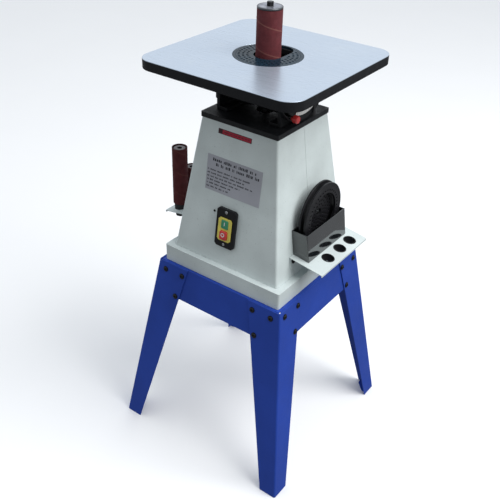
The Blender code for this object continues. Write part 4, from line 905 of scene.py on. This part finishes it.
def make_shade_bushes():
    """A black bush with a thin rim in each hole of the shelves; its black is also painted shade, so the hole looks
    dark.
    """
    profile = [(BUSH_R, BUSH_RIM), (BUSH_RIM_R - BUSH_RIM_EASE, BUSH_RIM), (BUSH_RIM_R, BUSH_RIM_EDGE),
               (BUSH_RIM_R, BUSH_GAP), (BUSH_OUT_R, BUSH_GAP), (BUSH_OUT_R, -BUSH_LENGTH),
               (BUSH_R, -BUSH_LENGTH)]
    for word, side in (("right", 1), ("left", -1)):
        (inner_x, inner_z), slope = shelf_top(word)
        normal = Vector((side * slope, 0.0, 1.0)).normalized()
        turn = normal.to_track_quat("Z", "Y").to_matrix().to_4x4()
        for k, spot in enumerate(shelf_holes(word)):
            z = inner_z - (abs(spot.x) - inner_x) * slope
            tube = turned(bmesh.new(), profile, BUSH_STEPS, hollow=True)
            # painted shade: the bush's black bore darkens the hole, which would otherwise show the lit floor
            bush = new_object(f"shelf_bush_{word}_{k + 1}", tube, FINISHES["black_plastic"],
                              Matrix.Translation((spot.x, spot.y, z)) @ turn)
            put_on(bush, "stand", "black_plastic")


# ---- switch marks, label, strip and scale ---------------------------------------------------
MARK_Z = (-0.0002, 0.0003)          # a mark's underside and top, from the button's face
START_BAR = (0.0009, 0.004)         # half width and half height
STOP_RING = (0.0030, 0.0046)
STOP_RING_STEPS = 40


def make_button_marks():
    """A bar for start and a ring for stop, each standing just proud of its button."""
    under, top = MARK_Z
    for node in ("start_button", "stop_button"):
        low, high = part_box(node)
        place = FRONT_WALL.place((low.x + high.x) / 2.0, (low.z + high.z) / 2.0, face_out(node))
        bm = bmesh.new()
        if node == "start_button":
            half, reach = START_BAR
            slab(bm, (-half, -reach, under), (half, reach, top))
        else:
            inner, outer = STOP_RING
            turned(bm, [(inner, under), (outer, under), (outer, top), (inner, top)], STOP_RING_STEPS,
                   hollow=True)
        mark = new_object(f"{node}_mark", bm, FINISHES["white_enamel"], place)
        put_on(mark, node, "white_enamel")


INK_THICK = 0.00008
LETTERS = (2, 6)              # fewest and most strokes in a group
LETTER_WIDTH = (0.5, 1.3)     # as shares of the line's stroke,
LETTER_HEIGHT = (0.7, 1.0)    # and of its height
LETTER_GAP = 0.45
WORD_GAP = 1.5
STICK_OUT = 0.0001            # a plate's underside stands this far off the wall
LABEL_X = (-0.0690, 0.0700)
LABEL_Z = (0.6500, 0.7262)
LABEL_THICK = 0.0004
LABEL_SEED = 11
TITLE_LINES = ((0.014, 0.015, 0.0118), (0.023, 0.005, 0.0215))   # left and right margin, drop
TITLE_PRINT = (0.0066, 0.0030)      # height and stroke
BODY_PRINT = (0.0036, 0.0019)
BODY_MARGINS = (0.024, 0.039, 0.018, 0.050, 0.074, 0.077)        # on the right, line by line
BODY_LEFT = 0.003
BODY_DROP = 0.0335
BODY_PITCH = 0.0074
STRIP_X = (-0.0480, 0.0345)
STRIP_Z = (0.7745, 0.7850)
STRIP_THICK = 0.0003
STRIP_SEED = 5
STRIP_BORDER = 0.0011
STRIP_DARK_END = 0.0105
STRIP_FACE_THICK = 0.00015
STRIP_MARGIN = 0.004
STRIP_LINE_Y = -0.0012
STRIP_PRINT = (0.0026, 0.0016)


def flat_piece(name, boxes, finish, place, slot):
    """Thin slabs on the stand: each is (x0, y0, x1, y1, thickness) in the place's own frame."""
    bm = bmesh.new()
    for x0, y0, x1, y1, thick in boxes:
        slab(bm, (x0, y0, 0.0), (x1, y1, thick))
    put_on(new_object(name, bm, FINISHES[finish], place), "stand", slot)


def words(rng, start, end, y, height, stroke):
    """Short strokes in groups, where a line of print would be. They spell nothing."""
    strokes = []
    x = start
    while x < end:
        for _ in range(rng.randint(*LETTERS)):
            width = stroke * rng.uniform(*LETTER_WIDTH)
            rise = height * rng.uniform(*LETTER_HEIGHT)
            if x + width > end:
                break
            strokes.append((x, y, x + width, y + rise, INK_THICK))
            x += width + stroke * LETTER_GAP
        x += stroke * WORD_GAP
    return strokes


def wall_plate(x_span, z_span):
    """The middle of a rectangle on the front wall, its half width, and its half height up the wall."""
    place = FRONT_WALL.place(sum(x_span) / 2.0, sum(z_span) / 2.0, STICK_OUT)
    rise = (z_span[1] - z_span[0]) * (1.0 + FRONT_WALL.slope ** 2) ** 0.5
    return place, (x_span[1] - x_span[0]) / 2.0, rise / 2.0


def raised(place, out):
    return place @ Matrix.Translation((0.0, 0.0, out))


def make_label():
    """A plain grey information plate with strokes in place of print."""
    rng = random.Random(LABEL_SEED)
    place, half_x, half_y = wall_plate(LABEL_X, LABEL_Z)
    flat_piece("label_plate", [(-half_x, -half_y, half_x, half_y, LABEL_THICK)], "label_grey", place,
               "white_enamel")
    strokes = []
    for left, right, drop in TITLE_LINES:
        strokes += words(rng, -half_x + left, half_x - right, half_y - drop, *TITLE_PRINT)
    for k, margin in enumerate(BODY_MARGINS):
        drop = BODY_DROP + BODY_PITCH * k
        strokes += words(rng, -half_x + BODY_LEFT, half_x - margin, half_y - drop, *BODY_PRINT)
    flat_piece("label_strokes", strokes, "ink", raised(place, LABEL_THICK), "black_plastic")


def make_strip():
    """A red strip with a dark border and a dark square at its left end."""
    rng = random.Random(STRIP_SEED)
    place, half_x, half_y = wall_plate(STRIP_X, STRIP_Z)
    flat_piece("strip_border", [(-half_x, -half_y, half_x, half_y, STRIP_THICK)], "strip_dark", place,
               "red_plastic")
    left = -half_x + STRIP_DARK_END
    face = [(left, -half_y + STRIP_BORDER, half_x - STRIP_BORDER, half_y - STRIP_BORDER,
             STRIP_FACE_THICK)]
    face_place = raised(place, STRIP_THICK)
    flat_piece("strip_face", face, "strip_red", face_place, "red_plastic")
    strokes = words(rng, left + STRIP_MARGIN, half_x - STRIP_MARGIN, STRIP_LINE_Y, *STRIP_PRINT)
    flat_piece("strip_strokes", strokes, "strip_dark", raised(face_place, STRIP_FACE_THICK),
               "red_plastic")


SCALE_MARKS = 10
SCALE_PITCH = 5.0                   # degrees
SCALE_FIRST = radians(4.0)          # from the scale's end to its first mark
SCALE_INSETS = (0.0012, 0.0030)     # of the long and the short marks, from the scale's inner edge
SCALE_OUTER_INSET = 0.0008
SCALE_MARK_HALF = 0.00022


def make_scale_marks():
    """Graduations every five degrees round the tilt axis, on the outer face of the scale."""
    tilt = next(j for j in frame["joints"] if j["child"] == "table")
    pivot_z = tilt["pos_m"][2]
    corners = corners_of("tilt_scale")
    radii = [((c.y ** 2) + (c.z - pivot_z) ** 2) ** 0.5 for c in corners]
    first = min(atan2(c.z - pivot_z, c.y) for c in corners) + SCALE_FIRST
    face_x = max(c.x for c in corners)
    outer = max(radii) - SCALE_OUTER_INSET
    half = SCALE_MARK_HALF
    bm = bmesh.new()
    for k in range(SCALE_MARKS):
        angle = first + radians(SCALE_PITCH * k)
        inner = min(radii) + SCALE_INSETS[k % 2]
        ring = [(inner, -half), (outer, -half), (outer, half), (inner, half)]
        add_rings(bm, [[(x, r * cos(angle) - side * sin(angle),
                         pivot_z + r * sin(angle) + side * cos(angle)) for r, side in ring]
                       for x in (face_x, face_x + INK_THICK)])
    put_on(new_object("scale_marks", bm, FINISHES["ink"]), "table", "black_plastic")


# ---- CAD nodes ------------------------------------------------------------------------------
def fresh_shading():
    """Geometry nodes that leave out a mesh's stored normals and shade it smooth."""
    group = bpy.data.node_groups.new("fresh_shading", "GeometryNodeTree")
    for way in ("INPUT", "OUTPUT"):
        group.interface.new_socket("Geometry", in_out=way, socket_type="NodeSocketGeometry")
    chain = [group.nodes.new(kind) for kind in ("NodeGroupInput", "GeometryNodeRemoveAttribute",
                                                "GeometryNodeSetShadeSmooth", "NodeGroupOutput")]
    chain[1].inputs["Name"].default_value = "custom_normal"
    for first, second in zip(chain, chain[1:]):
        group.links.new(first.outputs[0], second.inputs[0])
    return group


WELD_REACH = 0.00002
FLAT_BELOW = radians(0.5)     # faces that meet at less than this become one
EDGE_ABOVE = radians(32.0)    # and edges sharper than this are rounded
EDGE_STEPS = 2
FACE_WEIGHT = 90              # large faces set the normals near them


def soften(item, width, shading):
    """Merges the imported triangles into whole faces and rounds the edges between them."""
    item.modifiers.new("shading", "NODES").node_group = shading
    weld = item.modifiers.new("weld", "WELD")
    weld.merge_threshold = WELD_REACH
    planar = item.modifiers.new("whole_faces", "DECIMATE")
    planar.decimate_type = "DISSOLVE"
    planar.angle_limit = FLAT_BELOW
    bevel = item.modifiers.new("edges", "BEVEL")
    bevel.width = width
    bevel.segments = EDGE_STEPS
    bevel.limit_method = "ANGLE"
    bevel.angle_limit = EDGE_ABOVE
    bevel.use_clamp_overlap = True
    weights = item.modifiers.new("normals", "WEIGHTED_NORMAL")
    weights.weight = FACE_WEIGHT


EDGES = {"top_casting": 0.0012, "saddle_left": 0.0012, "saddle_right": 0.0012, "table": 0.0009,
         "trunnion_left": 0.0008, "trunnion_right": 0.0008, "switch_plate": 0.0012,
         "switch_bezel": 0.0009, "start_button": 0.0012, "stop_button": 0.0014,
         "tilt_scale": 0.0002, "worm_wheel": 0.0002, "worm": 0.0001, "base_pan": 0.0016,
         "insert_holder": 0.0007, "drum_nut": 0.0008, "connecting_rod": 0.0008}
EDGE = 0.0006                 # of a node that EDGES doesn't name
SPECIAL = {"insert_holder": "glossy_black", "spindle_shaft": "oiled_steel",
           "sanding_sleeve": "sleeve", "stored_sleeve_large": "sleeve_large",
           "stored_sleeve_small": "sleeve_small"}


def dress_nodes():
    """Each CAD node gets its record slot's finish, or one from SPECIAL, and rounded edges."""
    slots = {row["node"]: row["material_slot"] for row in frame["record"]["subparts"]}
    shading = fresh_shading()
    for name, item in NODES.items():
        item.material_slots[0].material = FINISHES[SPECIAL.get(name, slots[name])].material
        soften(item, EDGES.get(name, EDGE), shading)


make_camera()
make_key_light()
make_sky()
make_floor()
FINISHES = make_finishes()
dress_nodes()
make_bolts()
make_screws()
make_table_insert()
for spare in SPARE_INSERTS:
    make_spare_insert(spare)
make_sleeves()
make_drum_rings()
make_shade_bushes()
make_button_marks()
make_label()
make_strip()
make_scale_marks()
